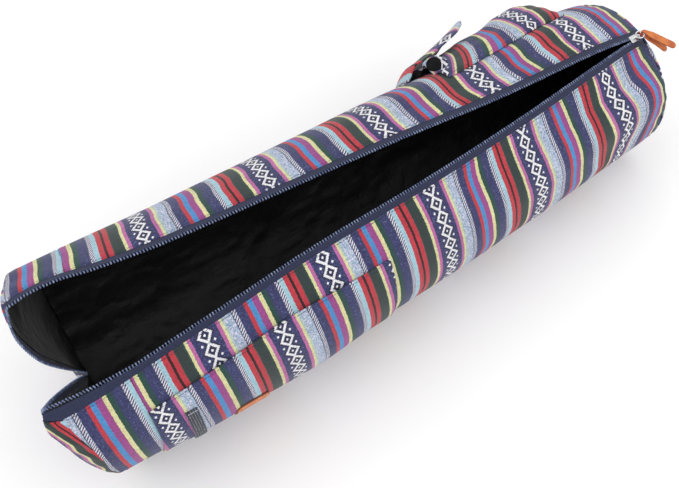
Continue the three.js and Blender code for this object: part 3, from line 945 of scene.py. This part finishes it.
def bodyGrid(startAt, stopAt, step):
    # rows run round the bag at steps from startAt(angle) to stopAt(angle)
    reach = abs(stopAt(180.0) - startAt(180.0))
    count = int(round(reach / step))
    ends = np.array([0, 0.5, 1.2, 2.4]) / reach
    v = np.concatenate([ends[:-1], np.linspace(ends[-1], 1 - ends[-1], count), 1 - ends[-2::-1]])
    nominal = mix(float(startAt(180.0)), float(stopAt(180.0)), v)
    nominal = np.clip(nominal, -half, half)
    total = np.radians(backAt(nominal) - frontAt(nominal)) * radiusAt(nominal)
    depth = spread(total, step)
    share = depth / total[:, None]
    x = nominal[:, None] * np.ones_like(share)
    for _ in range(4):
        angle = mix(frontAt(x), backAt(x), share)
        x = mix(startAt(angle), stopAt(angle), v[:, None])
    angle = mix(frontAt(x), backAt(x), share)
    edge = np.minimum(share, 1 - share) * total[:, None]
    return x, angle, edge


def buildBody():
    gap = bag["gap"] / 2
    for name, node, start, stop, origin, low, high in (
            ("cloth_main_panel", "body_main", lambda a: seamLine(a) + gap,
             lambda a: half - panels["endGap"] + 0 * a, panels["mainOrigin"], bag["seamX"] + 0.3, half),
            ("cloth_end_panel", "body_end_panel", lambda a: rimAt(a) + panels["rimGap"],
             lambda a: seamLine(a) - gap, panels["endOrigin"], -half, bag["seamX"])):
        x, angle, edge = bodyGrid(start, stop, panels["step"])
        lift = sewn("hem", edge) + sewn("panelStart", np.abs(x - start(angle)))
        outer = hull(x, angle, lift + sewn("panelStop", np.abs(x - stop(angle))))
        inner = hull(x, angle, -bag["cloth"])
        uv = clothPattern(x, angle, origin, low, high)
        shell(name, node, outer, inner, uv, [finish["cloth"], finish["lining"]])


buildBody()
print("body panels laid")

# Lining: loose satin, wrinkled inwards

liningFolds = {"depth": 3.6, "narrow": 1.3, "fine": 0.9, "drop": 1.9, "rimGap": 2.3, "endGap": 1.9,
               "step": 3.6}


def liningSlack(x, angle):
    arc = np.radians(angle) * bag["radius"]
    edge = np.minimum(*depths(x, angle))
    wide = drift(x / 58 + 0.5 * drift(x / 40, arc / 50), arc / 27 + 11)
    narrow = 1 - np.abs(drift(x / 31 + 20 + 0.8 * drift(x / 25, arc / 30), arc / 15 + 5)) * 2
    fine = drift(x / 12 + 7, arc / 8 + 2)
    slack = liningFolds["depth"] * (0.5 + 0.5 * wide) + liningFolds["fine"] * (0.5 + 0.5 * fine)
    slack = slack + liningFolds["narrow"] * np.maximum(narrow, 0) ** 2
    return slack * smooth((edge - 2) / 22)


def buildLining():
    x, angle, _ = bodyGrid(lambda a: rimAt(a) + liningFolds["rimGap"],
                           lambda a: half - liningFolds["endGap"] + 0 * a, liningFolds["step"])
    lift = -liningFolds["drop"] - liningSlack(x, angle)
    uv = np.stack([x, np.radians(angle) * bag["radius"]], -1) / 100
    shell("lining_tube", "lining_body", hull(x, angle, lift),
          hull(x, angle, lift - bag["lining"]), uv, [finish["lining"]])


buildLining()
print("lining laid")

# Round closed end

roundEnd = {
    "dome": 4.0,
    "rings": 26,
    "columns": 180,
    # height of the gathers near the rim, and how many there are
    "pucker": 0.5,
    "puckers": 27,
    # how its stripes are turned, in degrees, and where they start
    "turn": 64,
    "origin": 31,
}


def discGrid(inset, setBack):
    v = np.linspace(0, 1, roundEnd["rings"])[:-1] ** 0.8
    v = np.concatenate([v, [0.992]])
    share = (1 - v)[:, None]
    angle = (frontAt(half) + 360 * np.arange(roundEnd["columns"]) / roundEnd["columns"])[None, :]
    rim = hull(half + 0 * angle, angle, -inset, 0.0)
    x = half - setBack + roundEnd["dome"] * np.sqrt(np.maximum(1 - share**2, 0))
    gather = np.sin(np.radians(angle) * roundEnd["puckers"] + 2 * drift(angle / 40, 3.1))
    gather = gather * hill(share - 0.93, 0.07) + 0.8 * drift(share * 3 + 5, angle / 30)
    x = x + roundEnd["pucker"] * gather - 0.9 * hill((1 - share) * radiusAt(half), 1.2)
    y = mix(bag["radius"] * alongBag("sway", half), rim[..., 1], share)
    z = mix(radiusAt(half) - bag["settle"], rim[..., 2], share)
    return np.stack([x * np.ones_like(y), y, z], -1)


def buildRoundEnd():
    turn = math.radians(roundEnd["turn"])
    for name, inset, setBack, kind, slotName, node in (
            ("cloth_round_end", 0.0, 0.0, "cloth", "striped_cloth", "end_cap_right"),
            ("lining_round_end", 4.2, 2.2, "lining", "black_lining", "lining_end_right")):
        outer = discGrid(inset, setBack)
        y, z = outer[..., 1], outer[..., 2]
        uv = np.stack([y * math.cos(turn) + z * math.sin(turn) + roundEnd["origin"],
                       z * math.cos(turn) - y * math.sin(turn)], -1) / weave["repeat"]
        shell(name, node, outer, outer - np.array([bag[kind], 0, 0]), uv,
              [finish[kind]], wrap=True)


buildRoundEnd()
print("round end closed")

# Split end: cloth from the rim to the zip, both sides in one piece round the foot

splitEnd = {
    "columns": 150,
    "rows": 26,
    "liningDrop": 1.9,
    "arc": 520,
    "wrinkle": 1.1,
    # how its stripes run: shares of x, y and z
    "along": (-2.24, -0.92, -0.38),
    "around": (0.0, -0.5, 0.85),
    "origin": 675.4,
    "backShift": 45.0,
}


def capShares(skip, count):
    # closer together at the two corners
    t = np.linspace(0, 1, count)
    return mix(skip, 1 - skip, mix(t, smooth(t), 0.72))


def buildSplitEnd():
    for name, skip, short, depth, kind, slotName, node in (
            ("cloth_split_end", 0.002, 0.35, 0.0, "cloth", "striped_cloth", "end_cap_left"),
            ("lining_split_end", 0.012, 0.75, splitEnd["liningDrop"], "lining", "black_lining",
             "lining_end_left")):
        s = capShares(skip, splitEnd["columns"])[:, None]
        reach = capReach(s)
        stop = np.maximum(clothShare(s) - short / reach, 0.012)
        v = np.linspace(0, 1, splitEnd["rows"])[None, :]
        share = mix(np.minimum(depth / reach, stop * 0.5), stop, v)
        grid = capPoint(s + 0 * share, share)
        n = normalsOf(grid)
        n = n * np.sign(-n[..., :1].mean())
        flat = smooth(share / 0.25)[..., None]
        n = unit(np.array([-1.0, 0, 0]) * (1 - flat) + n * flat)
        edge, arc, fromRim = (stop - share) * reach, s * splitEnd["arc"], share * reach
        wrinkle = splitEnd["wrinkle"] * np.exp(-fromRim / 13) * (gathered("split", arc) - 0.6)
        wrinkle = wrinkle * smooth(fromRim / 3) * smooth(edge / 8)
        if kind == "cloth":
            slack = drift(arc / 40, fromRim / 30 + 4) * smooth(edge / 14) * smooth(fromRim / 10)
            rise = sewn("hem", edge) + wrinkle + slack + sewn("splitRim", fromRim)
            under = 0 * rise
        else:
            rise = under = -0.6 * np.abs(wrinkle)
        along = grid @ np.array(splitEnd["along"]) - splitEnd["origin"]
        along = along - splitEnd["backShift"] * smooth((s - 0.5) / 0.1)
        uv = np.stack([along, grid @ np.array(splitEnd["around"])], -1) / weave["repeat"]
        shell(name, node, grid + n * (rise - depth)[..., None],
              grid + n * (under - depth - bag[kind])[..., None], uv,
              [finish[kind], finish["lining"]])


buildSplitEnd()
print("split end laid")

# Zip: ribbed tape, a row of teeth on each side, and the stitching along the cloth

zipParts = {
    "pitch": 2.8,
    # rows across the tape: distance from the cloth's edge, height of its face
    "tape": ((-0.15, -0.55), (0.5, -0.42), (1.1, -0.42), (1.5, -0.6), (1.9, -0.42), (3.4, -0.42),
             (3.9, -0.5), (4.3, -0.15), (4.9, 0.05), (5.5, -0.15), (5.8, -0.55)),
    "tapeBack": -1.4,
    # along the tooth from the tape outwards: at, half width, half height
    "tooth": ((0, 0.5, 0.75), (0.7, 0.62, 1.0), (1.5, 0.6, 0.95), (2.0, 0.78, 1.1),
              (2.55, 0.76, 1.0), (2.9, 0.42, 0.6)),
    "toothDepth": -0.85,
    "toothLength": 2.7,
    "tapeStep": 2.0,
    "stitchDepth": 1.9,
    "stitchLift": -0.22,
}


def buildZip():
    offsets, tops = np.array(zipParts["tape"]).T
    for name, side in (("front", 1), ("back", -1)):
        rails = zipRails(side, zipParts["tapeStep"])
        share = (offsets / bag["zipWidth"])[None, :, None]
        base = rails["cloth"][:, None] + (rails["teeth"] - rails["cloth"])[:, None] * share
        up = rails["out"][:, None]
        arc = np.arange(len(base))[:, None] * zipParts["tapeStep"] + 0 * offsets[None, :]
        uv = np.stack([arc, np.broadcast_to(offsets, arc.shape)], -1)
        shell(f"zip_tape_on_{name}", f"zip_tape_{name}",
              base + up * tops[None, :, None], base + up * zipParts["tapeBack"], uv,
              [finish["tape"]], 70)

        rails = zipRails(side, zipParts["pitch"])
        across, out = rails["across"], rails["out"]
        centres = rails["teeth"] - across * zipParts["toothLength"] + out * zipParts["toothDepth"]
        if side < 0:
            centres = centres + rails["along"] * zipParts["pitch"] / 2
        beads(f"zip_teeth_on_{name}", f"zip_teeth_{name}", centres, across,
              unit(np.cross(across, out)), out, zipParts["tooth"], finish["teeth"])

        edgeAt = frontAt if side > 0 else backAt
        x = np.linspace(half - 4, float(rimAt(edgeAt(-half))) + 2, 320)
        angle = edgeAt(x) + side * np.degrees(zipParts["stitchDepth"] / radiusAt(x))
        stitchRun(f"zip_stitching_{name}", x, angle, zipParts["stitchLift"],
                  "navyThread")


buildZip()
print("zip laid")

# Slip pocket on the front, with its webbing tab and bare leather patch

frontPocket = {
    "start": bag["seamX"] + 1,
    "end": -0.09 * half,
    # the hem's angle at the start, and the one it has from this share of the length on
    "hem": (65.8, 57.4),
    "levelFrom": 1 / 1.9,
    "foot": 150.0,
    "clear": 0.75,
    "puff": 1.5,
    # mean place of the hem and mean radius, for lengths round the bag
    "meanHem": 60.0,
    "radius": 97.0,
    # its stripes: where they start, their lean at the hem, the depth from which that grows,
    # over how much and by what share of it
    "origin": -139.0,
    "lean": (-6.3, 35, 80, 0.11),
    "patternDepth": 2.0,
    # what is sewn on lies this much above its face
    "rest": 0.4,
}


def frontPocketShare(x):
    return (x - frontPocket["start"]) / (frontPocket["end"] - frontPocket["start"])


def hemAngle(x):
    return mix(*frontPocket["hem"], np.minimum(1, frontPocketShare(x) / frontPocket["levelFrom"]))


def bump(t):
    return np.sin(np.pi * np.clip(t, 0, 1))


def frontPocketLift(x, angle):
    d = (angle - hemAngle(x)) / (frontPocket["foot"] - hemAngle(x))
    ends = np.minimum(bump(frontPocketShare(x)) * 1.5, 1)
    puff = ends * (0.55 + 0.45 * bump(d)) * smooth((1 - d) * 4)
    return frontPocket["clear"] + frontPocket["puff"] * puff


def edgeRows(length, step, fine=(0, 0.4, 1.0, 1.8, 2.8)):
    return spread([length], step, fine)[0]


def buildFrontPocket():
    start, end, foot = frontPocket["start"], frontPocket["end"], frontPocket["foot"]
    x = edgeRows(end - start, 3.2)[:, None] + start
    reach = np.radians(foot - frontPocket["meanHem"]) * frontPocket["radius"]
    d = edgeRows(reach, 3.4)[None, :] / reach
    angle = mix(hemAngle(x), foot, d)
    fromHem = d * reach + 0 * x
    fromSide = np.minimum(x - start, end - x) + 0 * d
    fold = 0.55 * drift(x / 34, angle / 16 + 8) * smooth(fromHem / 12) * smooth(fromSide / 9)
    lift = frontPocketLift(x, angle)
    seam = sewn("hem", fromHem) + sewn("frontPocket", fromSide)
    deep = depths(x, angle)[0]
    lean, leanFrom, leanOver, leanShare = frontPocket["lean"]
    along = x - lean - np.clip(deep - leanFrom, 0, leanOver) * leanShare - frontPocket["origin"]
    uv = np.stack([along, deep + frontPocket["patternDepth"]], -1) / weave["repeat"]
    shell("cloth_front_pocket", "front_pocket",
          hull(x, angle, lift + seam + fold + bag["cloth"]), hull(x, angle, lift), uv,
          [finish["cloth"]])

    run = np.linspace(start + 2, end - 2, 120)
    angle = hemAngle(run) + np.degrees(1.9 / radiusAt(run))
    stitchRun("pocket_hem_stitching", run, angle,
              frontPocketLift(run, angle) + bag["cloth"] - 0.2, "navyThread")


def onFrontPocket(x, angle):
    return frontPocketLift(x, angle) + bag["cloth"] + frontPocket["rest"]


webbingTab = {
    "start": -0.733 * half,
    "width": 11.0,
    "top": 76.0,
    "foot": 138.0,
    "thick": 1.6,
    "radius": 98.0,
    "lean": 6.5,
    "shift": -1.0,
    "rib": 0.22,
    "ribPitch": 2.2,
}


def buildWebbingTab():
    t = webbingTab
    across = np.linspace(0, 1, 34)[:, None]
    reach = math.radians(t["foot"] - t["top"]) * t["radius"]
    d = edgeRows(reach, 2.4)[None, :] / reach
    angle = mix(t["top"], t["foot"], d) + 0 * across
    x = t["start"] + t["width"] * across + t["lean"] * d + t["shift"]
    rib = t["rib"] * np.cos(across * t["width"] / t["ribPitch"] * 2 * np.pi)
    rib = rib + sewn("webbing", np.minimum(across, 1 - across) * t["width"])
    lift = onFrontPocket(x, angle)
    uv = np.stack([d * reach + 0 * across, across * t["width"] + 0 * d], -1)
    shell("webbing_side_tab", "webbing_tab",
          hull(x, angle, lift + t["thick"] + rib), hull(x, angle, lift), uv, [finish["webbing"]])

    x = np.linspace(0.6, t["width"] - 0.6, 12) + t["start"] - 0.9
    angle = np.full(len(x), t["top"] + 1.2)
    stitchRun("webbing_tab_stitching", x, angle,
              onFrontPocket(x, angle) + t["thick"] + 0.15, "paleThread", 1.5, 1.25, 0.33)


leatherPatch = {
    "start": -0.603 * half,
    "width": 32.9,
    "top": 101.0,
    "foot": 121.0,
    "thick": 1.4,
    "radius": 98.0,
    "rounding": 0.09,
    "stitchInset": 2.2,
}


def buildLeatherPatch():
    t = leatherPatch
    wide, high = t["width"] / 2, math.radians(t["foot"] - t["top"]) * t["radius"] / 2
    x = edgeRows(2 * wide, 1.4)[:, None]
    y = edgeRows(2 * high, 1.4)[None, :]
    # pull the corners in to a round
    squeeze = 1 - t["rounding"] * (np.abs(x - wide) / wide * np.abs(y - high) / high) ** 8
    px = wide + (x - wide) * squeeze + t["start"]
    angle = t["top"] + np.degrees((high + (y - high) * squeeze) / t["radius"])
    edge = np.minimum(np.minimum(x, 2 * wide - x), np.minimum(y, 2 * high - y))
    lift = onFrontPocket(px, angle)
    uv = np.stack([px / 100 + 0 * edge, 1 - np.clip(edge / 3, 0, 1) * 0.9], -1)
    shell("leather_side_patch", "leather_patch",
          hull(px, angle, lift + t["thick"] + sewn("patch", edge)), hull(px, angle, lift), uv,
          [finish["leather"]])

    low, right, top = t["stitchInset"], 2 * wide - t["stitchInset"], 2 * high - t["stitchInset"]
    corners = np.array([(low, low), (right, low), (right, top), (low, top), (low, low)])
    path = np.concatenate([np.linspace(a, b, 16)[:-1] for a, b in zip(corners[:-1], corners[1:])])
    px = path[:, 0] + t["start"]
    angle = t["top"] + np.degrees(path[:, 1] / t["radius"])
    stitchRun("leather_patch_stitching", px, angle,
              onFrontPocket(px, angle) + t["thick"] - 0.12, "tanThread", 2.7, 1.9, 0.26)


buildFrontPocket()
buildWebbingTab()
buildLeatherPatch()
print("front pocket sewn")

# Puffed pocket on the back, its mouth towards the split end

backPocket = {
    "start": 0.37 * half,
    "end": 0.85 * half,
    "top": (338.0, 330.5),
    "foot": 242.0,
    "reach": 160.0,
    # its puff, the share of it at the mouth, and how far the mouth's edge bows
    "puff": 27.0,
    "mouthShare": 0.24,
    "bow": -0.012 * half,
    # its cloth is cut the other way round: where the diamonds stand, and their distance
    "origin": 121.5,
    "repeat": 111.0,
    "depth": 3.0,
    # its far stripes are pushed along: how far, from where, over how much
    "push": (9, 165, 60),
    # how much the stripes lean at places along the bag
    "leanAt": (124, 150, 180, 210, 235, 270),
    "lean": (0.85, 0.7, 0.45, 0.2, 0.0, 0.25),
}


def backPocketShare(x):
    return (x - backPocket["start"]) / (backPocket["end"] - backPocket["start"])


def backPocketTop(x):
    return mix(*backPocket["top"], backPocketShare(x))


def pocketPuff(x, angle):
    t = np.maximum(backPocketShare(x), 0)
    d = (backPocketTop(x) - angle) / (backPocketTop(x) - backPocket["foot"])
    lengthwise = mix(backPocket["mouthShare"], 1, t ** 1.25) * np.cos(0.5 * np.pi * t ** 11)
    return frontPocket["clear"] + backPocket["puff"] * bump(d) ** 0.8 * np.maximum(lengthwise, 0)


stud = {
    "x": 0.382 * half,
    "angle": 320.5,
    "diameter": 15.0,
    "height": 2.4,
    "socketShare": 0.78,
    # it sits this much above the pocket's round and looks up
    "raised": 2.4,
    "axis": (-0.25, -0.12, 0.96),
    # the cloth follows its underside between these, and fades out from and over this distance
    "follows": (-4.5, 8),
    "fade": 8,
}


def studFrame():
    x, angle = stud["x"], stud["angle"]
    foot = hull(x, angle, pocketPuff(x, angle) + bag["cloth"])
    square = unit(hull(x, angle, pocketPuff(x, angle) + bag["cloth"] + 1) - foot)
    return foot + square * stud["raised"], unit(np.array(stud["axis"])), square


def backPocketLift(x, angle):
    # round the stud the cloth rises to its underside
    middle, axis, square = studFrame()
    puff = pocketPuff(x, angle)
    off = middle - hull(x, angle, puff + bag["cloth"])
    away = np.linalg.norm(off, axis=-1)
    rise = np.clip((off @ axis) / (square @ axis) - 0.5, *stud["follows"])
    return puff + rise * (1 - smooth((away - stud["fade"]) / stud["fade"]))


def buildBackPocket():
    start, end, reach = backPocket["start"], backPocket["end"], backPocket["reach"]
    u = edgeRows(end - start, 2.8)[:, None] / (end - start)
    v = edgeRows(reach, 2.8)[None, :] / reach
    x = mix(start, end, u) + backPocket["bow"] * bump(v) * (1 - u)
    angle = mix(backPocketTop(x), backPocket["foot"], v)
    fromMouth, fromEnd = u * (end - start) + 0 * v, (1 - u) * (end - start) + 0 * v
    fromTop, fromFoot = v * reach + 0 * u, (1 - v) * reach + 0 * u
    edge = np.minimum(np.minimum(fromTop, fromFoot), fromEnd)
    calm = smooth(edge / 14) * smooth(fromMouth / 10)
    lift = sewn("hem", fromMouth) + sewn("backPocket", edge)
    lift = lift + calm * (1.6 * drift(x / 26 + 2, fromTop / 19) + 0.7 * drift(x / 13, fromTop / 10))
    lift = lift + 0.5 * gathered("pocketTop", x) * np.exp(-fromTop / 9) * smooth(fromTop / 3)
    gather = gathered("pocketEnd", fromTop) * np.exp(-fromEnd / 11) * smooth(fromEnd / 3)
    lift = lift + 0.9 * gather * smooth(fromTop / 6)
    base = backPocketLift(x, angle)
    lean = np.interp(x, backPocket["leanAt"], backPocket["lean"])
    push, pushFrom, pushOver = backPocket["push"]
    along = x - lean * (45 * np.tanh((fromTop - 5) / 45)) - push * smooth((x - pushFrom) / pushOver)
    along = along - backPocket["origin"] + 1.2 * drift(x / 50 + 4, fromTop / 30)
    around = (fromTop + backPocket["depth"]) / weave["repeat"]
    shell("cloth_back_pocket", "back_pocket",
          hull(x, angle, base + bag["cloth"] + lift),
          hull(x, angle, base + calm * np.minimum(lift, 0) * 0.9),
          np.stack([-along / backPocket["repeat"], around], -1), [finish["cloth"]])

    run = np.linspace(start + 3, end - 3, 110)
    angle = backPocketTop(run) - np.degrees(2.2 / radiusAt(run))
    stitchRun("back_pocket_stitching", run, angle,
              backPocketLift(run, angle) + bag["cloth"] - 0.15, "navyThread")


buildBackPocket()
print("back pocket sewn")

# Tongue flap with its press stud

flap = {
    "root": 0.3 * half,
    "length": 106.0,
    "width": 54.0,
    "middle": 294.0,
    "thick": 2.0,
    "taper": 0.35,
    "taperFrom": 0.72,
    "rise": 0.13,
    "tipRound": 0.1,
    # its stripes run from here along this length of the pattern
    "pattern": (72.0, 74.0),
}


def pocketRoom(x, angle):
    t = (x - backPocket["start"] + 23) / 19
    room = (pocketPuff(np.maximum(x, backPocket["start"] + 1), angle)
            + bag["cloth"] + stud["height"] + 0.8)
    return np.where(t <= 0, 0, smooth(t) * room)


def flapPoint(t, w):
    x = flap["root"] + flap["length"] * (t - 0.08 * t * t)
    taper = 1 - flap["taper"] * smooth((t - flap["taperFrom"]) / (1 - flap["taperFrom"]))
    angle = flap["middle"] + np.degrees((w - 0.5) * flap["width"] * taper / radiusAt(x))
    rise = flap["rise"] * flap["length"] * np.maximum(t, 0) ** 1.5
    return x, angle, 0.6 * frontPocket["clear"] + rise + pocketRoom(x, angle)


def buildFlap():
    t = edgeRows(flap["length"], 2.0)[:, None] / flap["length"]
    w = edgeRows(flap["width"], 2.0)[None, :] / flap["width"]
    t, w = np.broadcast_arrays(t, w)
    # round the tip's corners
    tip = flap["tipRound"] * smooth((t - 0.7) / 0.3) * (np.abs(w - 0.5) * 2) ** 4
    x, angle, lift = flapPoint(t - tip, w)
    edge = np.minimum(np.minimum(w, 1 - w) * flap["width"], (1 - t) * flap["length"])
    puff = 0.5 * drift(t * 5, w * 3) * smooth(edge / 8) + sewn("flap", edge)
    low, length = flap["pattern"]
    uv = np.stack([low + length * t, (w - 0.5) * flap["width"]], -1) / weave["repeat"]
    shell("cloth_pocket_flap", "pocket_flap",
          hull(x, angle, lift + flap["thick"] + puff),
          hull(x, angle, lift + 0.3 * hill(edge, 0.5)), uv, [finish["cloth"], finish["lining"]])


def button(name, node, point, section):
    # a round stud half: section rows of (share of the radius, height)
    u = 2 * np.pi * np.arange(56) / 56
    outer = np.stack([point(r, u, h) for r, h in section])
    inner = np.stack([point(r, u, 0.0) for r, h in section])
    shell(name, node, outer, inner, np.zeros(outer.shape[:2] + (2,)),
          [finish["snap"]], 35, True)


def capSpot(r, u, h):
    middle, axis = studFrame()[:2]
    ahead = unit(np.cross(axis, np.array([0.0, 1.0, 0.0])))
    across = np.cross(axis, ahead)
    radius = r * stud["diameter"] / 2
    ring = ahead * np.cos(u)[:, None] + across * np.sin(u)[:, None]
    return middle + radius * ring + axis * (h - 0.2)


def socketSpot(r, u, h):
    radius = r * 0.38 * stud["diameter"]
    t = stud["socketShare"] + radius * np.cos(u) / flap["length"]
    w = 0.5 + radius * np.sin(u) / flap["width"]
    x, angle, lift = flapPoint(t, w)
    return hull(x, angle, lift - 0.4 - h)


buildFlap()
button("press_stud_cap", "snap_cap", capSpot, (
    (1.0, 0.5), (0.98, 1.1), (0.9, 1.45), (0.8, 1.35), (0.74, 1.2), (0.66, 1.5), (0.45, 1.95),
    (0.2, 2.2), (0.02, 2.3)))
button("press_stud_socket", "snap_socket", socketSpot, (
    (1.0, 0.4), (0.96, 1.1), (0.8, 1.4), (0.55, 1.3), (0.42, 0.6), (0.2, 0.6), (0.03, 0.6)))
print("flap and stud placed")

# Slider, ring and leather pull

sliderParts = {
    "at": 0.95,
    "seat": 0.75,
    "length": 13.0,
    "width": 7.2,
    "height": 5.0,
    "bailWire": 0.85,
    "ring": 3.8,
    "wire": 1.3,
    "ringLean": (0.75, -0.2, 0.6),
}
pull = {
    "length": 34.0,
    # the share of that for its under half, and how far the upper and the under half stand off
    "under": 0.86,
    "splay": (0.6, 4.5),
    "width": 9.0,
    "thick": 1.4,
    "clear": 0.75,
    # the share of its length bent round the ring
    "bend": 0.12,
    "way": (0.527, -0.814, -0.245),
    "side": (0.84, 0.54, 0.0),
}


def sliderFrame():
    x = sliderParts["at"] * half
    angle = 0.5 * (float(frontAt(x)) + float(backAt(x)) - 360)
    seat = hull(x, angle, sliderParts["seat"], 0.0)
    return Matrix.Translation(Vector(seat)) @ Matrix.Rotation(math.radians(angle), 4, "X")


def block(work, size, at, bevel):
    made = bmesh.ops.create_cube(work, size=1.0)
    for v in made["verts"]:
        v.co = Vector([c * wide + middle for c, wide, middle in zip(v.co, size, at)])
    edges = list(dict.fromkeys(e for v in made["verts"] for e in v.link_edges))
    bmesh.ops.bevel(work, geom=edges, offset=bevel, segments=3, profile=0.6,
                    affect="EDGES", clamp_overlap=True)


def tube(work, path, radius, sides=12, closed=False):
    # a round wire along a list of points
    path = [Vector(p) for p in path]
    count = len(path)
    rings = []
    for k, p in enumerate(path):
        ahead = path[(k + 1) % count] if closed or k < count - 1 else p
        behind = path[k - 1] if closed or k > 0 else p
        way = (ahead - behind).normalized()
        side = way.cross(Vector((0.02, 0.03, 1))).normalized()
        if abs(way.z) > 0.95:
            side = way.cross(Vector((0, 1, 0.02))).normalized()
        up = side.cross(way)
        rings.append([work.verts.new(p + radius * (
            side * math.cos(2 * math.pi * i / sides) + up * math.sin(2 * math.pi * i / sides)))
            for i in range(sides)])
    last = count if closed else count - 1
    for k in range(last):
        a, b = rings[k], rings[(k + 1) % count]
        for i in range(sides):
            work.faces.new((a[i], a[(i + 1) % sides], b[(i + 1) % sides], b[i]))
    if not closed:
        work.faces.new(rings[0][::-1])
        work.faces.new(rings[-1])


def metalPiece(name, work, world, node):
    for v in work.verts:
        v.co = Vector(place(world @ v.co))
    mesh = bpy.data.meshes.new(name)
    work.to_mesh(mesh)
    work.free()
    mesh.uv_layers.new(name="weave")
    finishMesh(mesh, [finish["metal"]], 40)
    addPiece(name, mesh, node)


def buildSlider():
    p = sliderParts
    world = sliderFrame()
    plate = p["height"] * 0.44
    work = bmesh.new()
    # size and place as shares of the length, the width and the plate's height, then the bevel
    for size, at, bevel in (
            ((0.62, 1.0, 0.62), (-0.14, 0, 0.69), 0.5), ((0.42, 0.62, 0.6), (0.26, 0, 0.69), 0.5),
            ((0.6, 1 / p["width"], 1), (-0.14, -0.44, 0.5), 0.3),
            ((0.6, 1 / p["width"], 1), (-0.14, 0.44, 0.5), 0.3)):
        whole = (p["length"], p["width"], plate)
        block(work, [a * b for a, b in zip(size, whole)], [a * b for a, b in zip(at, whole)], bevel)
    rise = p["height"] + 0.1 - plate
    tube(work, [(mix(-0.41, 0.41, k / 16) * p["length"], 0,
                 plate + rise * math.sin(math.pi * k / 16) ** 0.42) for k in range(17)], p["bailWire"])
    metalPiece("zip_slider_body", work, world, "zip_slider")

    # the ring stands up round the bail and leans to the end
    lean = Vector(p["ringLean"]).normalized()
    centre = Vector((p["length"] * 0.12, 0, p["height"])) + lean * p["ring"] * 0.7
    work = bmesh.new()
    tube(work, [centre + (Vector((0, 1, 0)) * math.cos(a) + lean * math.sin(a)) * p["ring"]
                for a in np.linspace(0, 2 * np.pi, 49)[:-1]], p["wire"] / 2, closed=True)
    metalPiece("zip_pull_ring", work, world, "pull_ring")
    return world @ (centre + lean * p["ring"])


def buildPull(start):
    way, side = unit(np.array(pull["way"])), unit(np.array(pull["side"]))
    up = np.cross(side, way)
    up = unit(up * np.sign(up[2]))
    r = sliderParts["wire"] / 2 + pull["clear"] + pull["thick"] / 2
    t = np.linspace(0, 1, 121)
    bent = np.abs(t - 0.5) < pull["bend"] / 2
    a = np.pi * (t - 0.5) / pull["bend"]
    fold = -way * r * np.cos(a)[:, None] + up * r * np.sin(a)[:, None]
    sign = np.sign(t - 0.5)
    out = np.clip((np.abs(t - 0.5) - pull["bend"] / 2) / (0.5 - pull["bend"] / 2), 0, 1)
    length = pull["length"] * np.where(sign > 0, 1, pull["under"])
    away = r + np.where(sign > 0, *pull["splay"]) * out**2
    straight = way * (length * out)[:, None] + up * (sign * away)[:, None]
    path = np.array(start) + np.where(bent[:, None], fold, straight)
    n = unit(np.cross(unit(np.gradient(path, axis=0)), side))
    wide = pull["width"] * mix(0.36, 1, smooth(np.abs(t - 0.5) * 5))
    tip = np.clip(1 - (1 - out) * length / (pull["width"] / 2), 0, 1)
    wide = wide * np.sqrt(np.maximum(1 - tip**2.4, 0.02))
    v = np.array([0, 0.04, 0.1, 0.2, 0.35, 0.5, 0.65, 0.8, 0.9, 0.96, 1.0])
    centre = path[:, None] + side * ((v - 0.5)[None, :] * wide[:, None])[..., None]
    edge = np.minimum(v, 1 - v)[None, :] * wide[:, None]
    edge = np.minimum(edge, ((1 - out) * length)[:, None])
    thick = pull["thick"] / 2 * (1 - 0.55 * hill(edge, 0.35)) - 0.12 * hill(edge - 1.5, 0.3)
    thick = n[:, None] * thick[..., None]
    uv = np.stack([np.broadcast_to(t[:, None], edge.shape), 1 - np.clip(edge / 1.6, 0, 1)], -1)
    shell("leather_zip_pull", "pull_leather", centre + thick, centre - thick, uv,
          [finish["leather"]], 60)


buildPull(buildSlider())
print("slider and pull hung")

# Floor and light

studio = {
    "floor": "#f4f4f4",
    "sky": 1.02,
    "lamps": (
        # name, place, size, power
        ("key_light", (-0.9, 0.7, 1.9), 2.2, 8.5),
        ("fill_light", (0.6, -1.4, 1.3), 1.8, 7.0),
    ),
    "aim": (0, 0, 0.08),
}


def buildStudio():
    made, w, feed = newMaterial("pale_floor", Roughness=0.95)
    tone = w.noise(w.position(), 2.0)
    feed(Base_Color=tone.mixed(shade(studio["floor"]), shade("#fbfbfb")))
    mesh = bpy.data.meshes.new("floor")
    mesh.from_pydata([(-6, -6, 0), (6, -6, 0), (6, 6, 0), (-6, 6, 0)], [], [(0, 1, 2, 3)])
    mesh.materials.append(made)
    floor = bpy.data.objects.new("floor", mesh)
    bpy.context.scene.collection.objects.link(floor)
    world = bpy.data.worlds.new("studio")
    world.use_nodes = True
    world.node_tree.nodes["Background"].inputs[0].default_value = (1, 1, 1, 1)
    world.node_tree.nodes["Background"].inputs[1].default_value = studio["sky"]
    bpy.context.scene.world = world
    for name, at, size, power in studio["lamps"]:
        data = bpy.data.lights.new(name, "AREA")
        data.shape = "DISK"
        data.size = size
        data.energy = power
        lamp = bpy.data.objects.new(name, data)
        lamp.location = at
        aim = Vector(studio["aim"]) - Vector(at)
        lamp.rotation_euler = aim.to_track_quat("-Z", "Y").to_euler()
        bpy.context.scene.collection.objects.link(lamp)


buildStudio()
bpy.context.scene.view_settings.view_transform = "Standard"
print("studio lit")
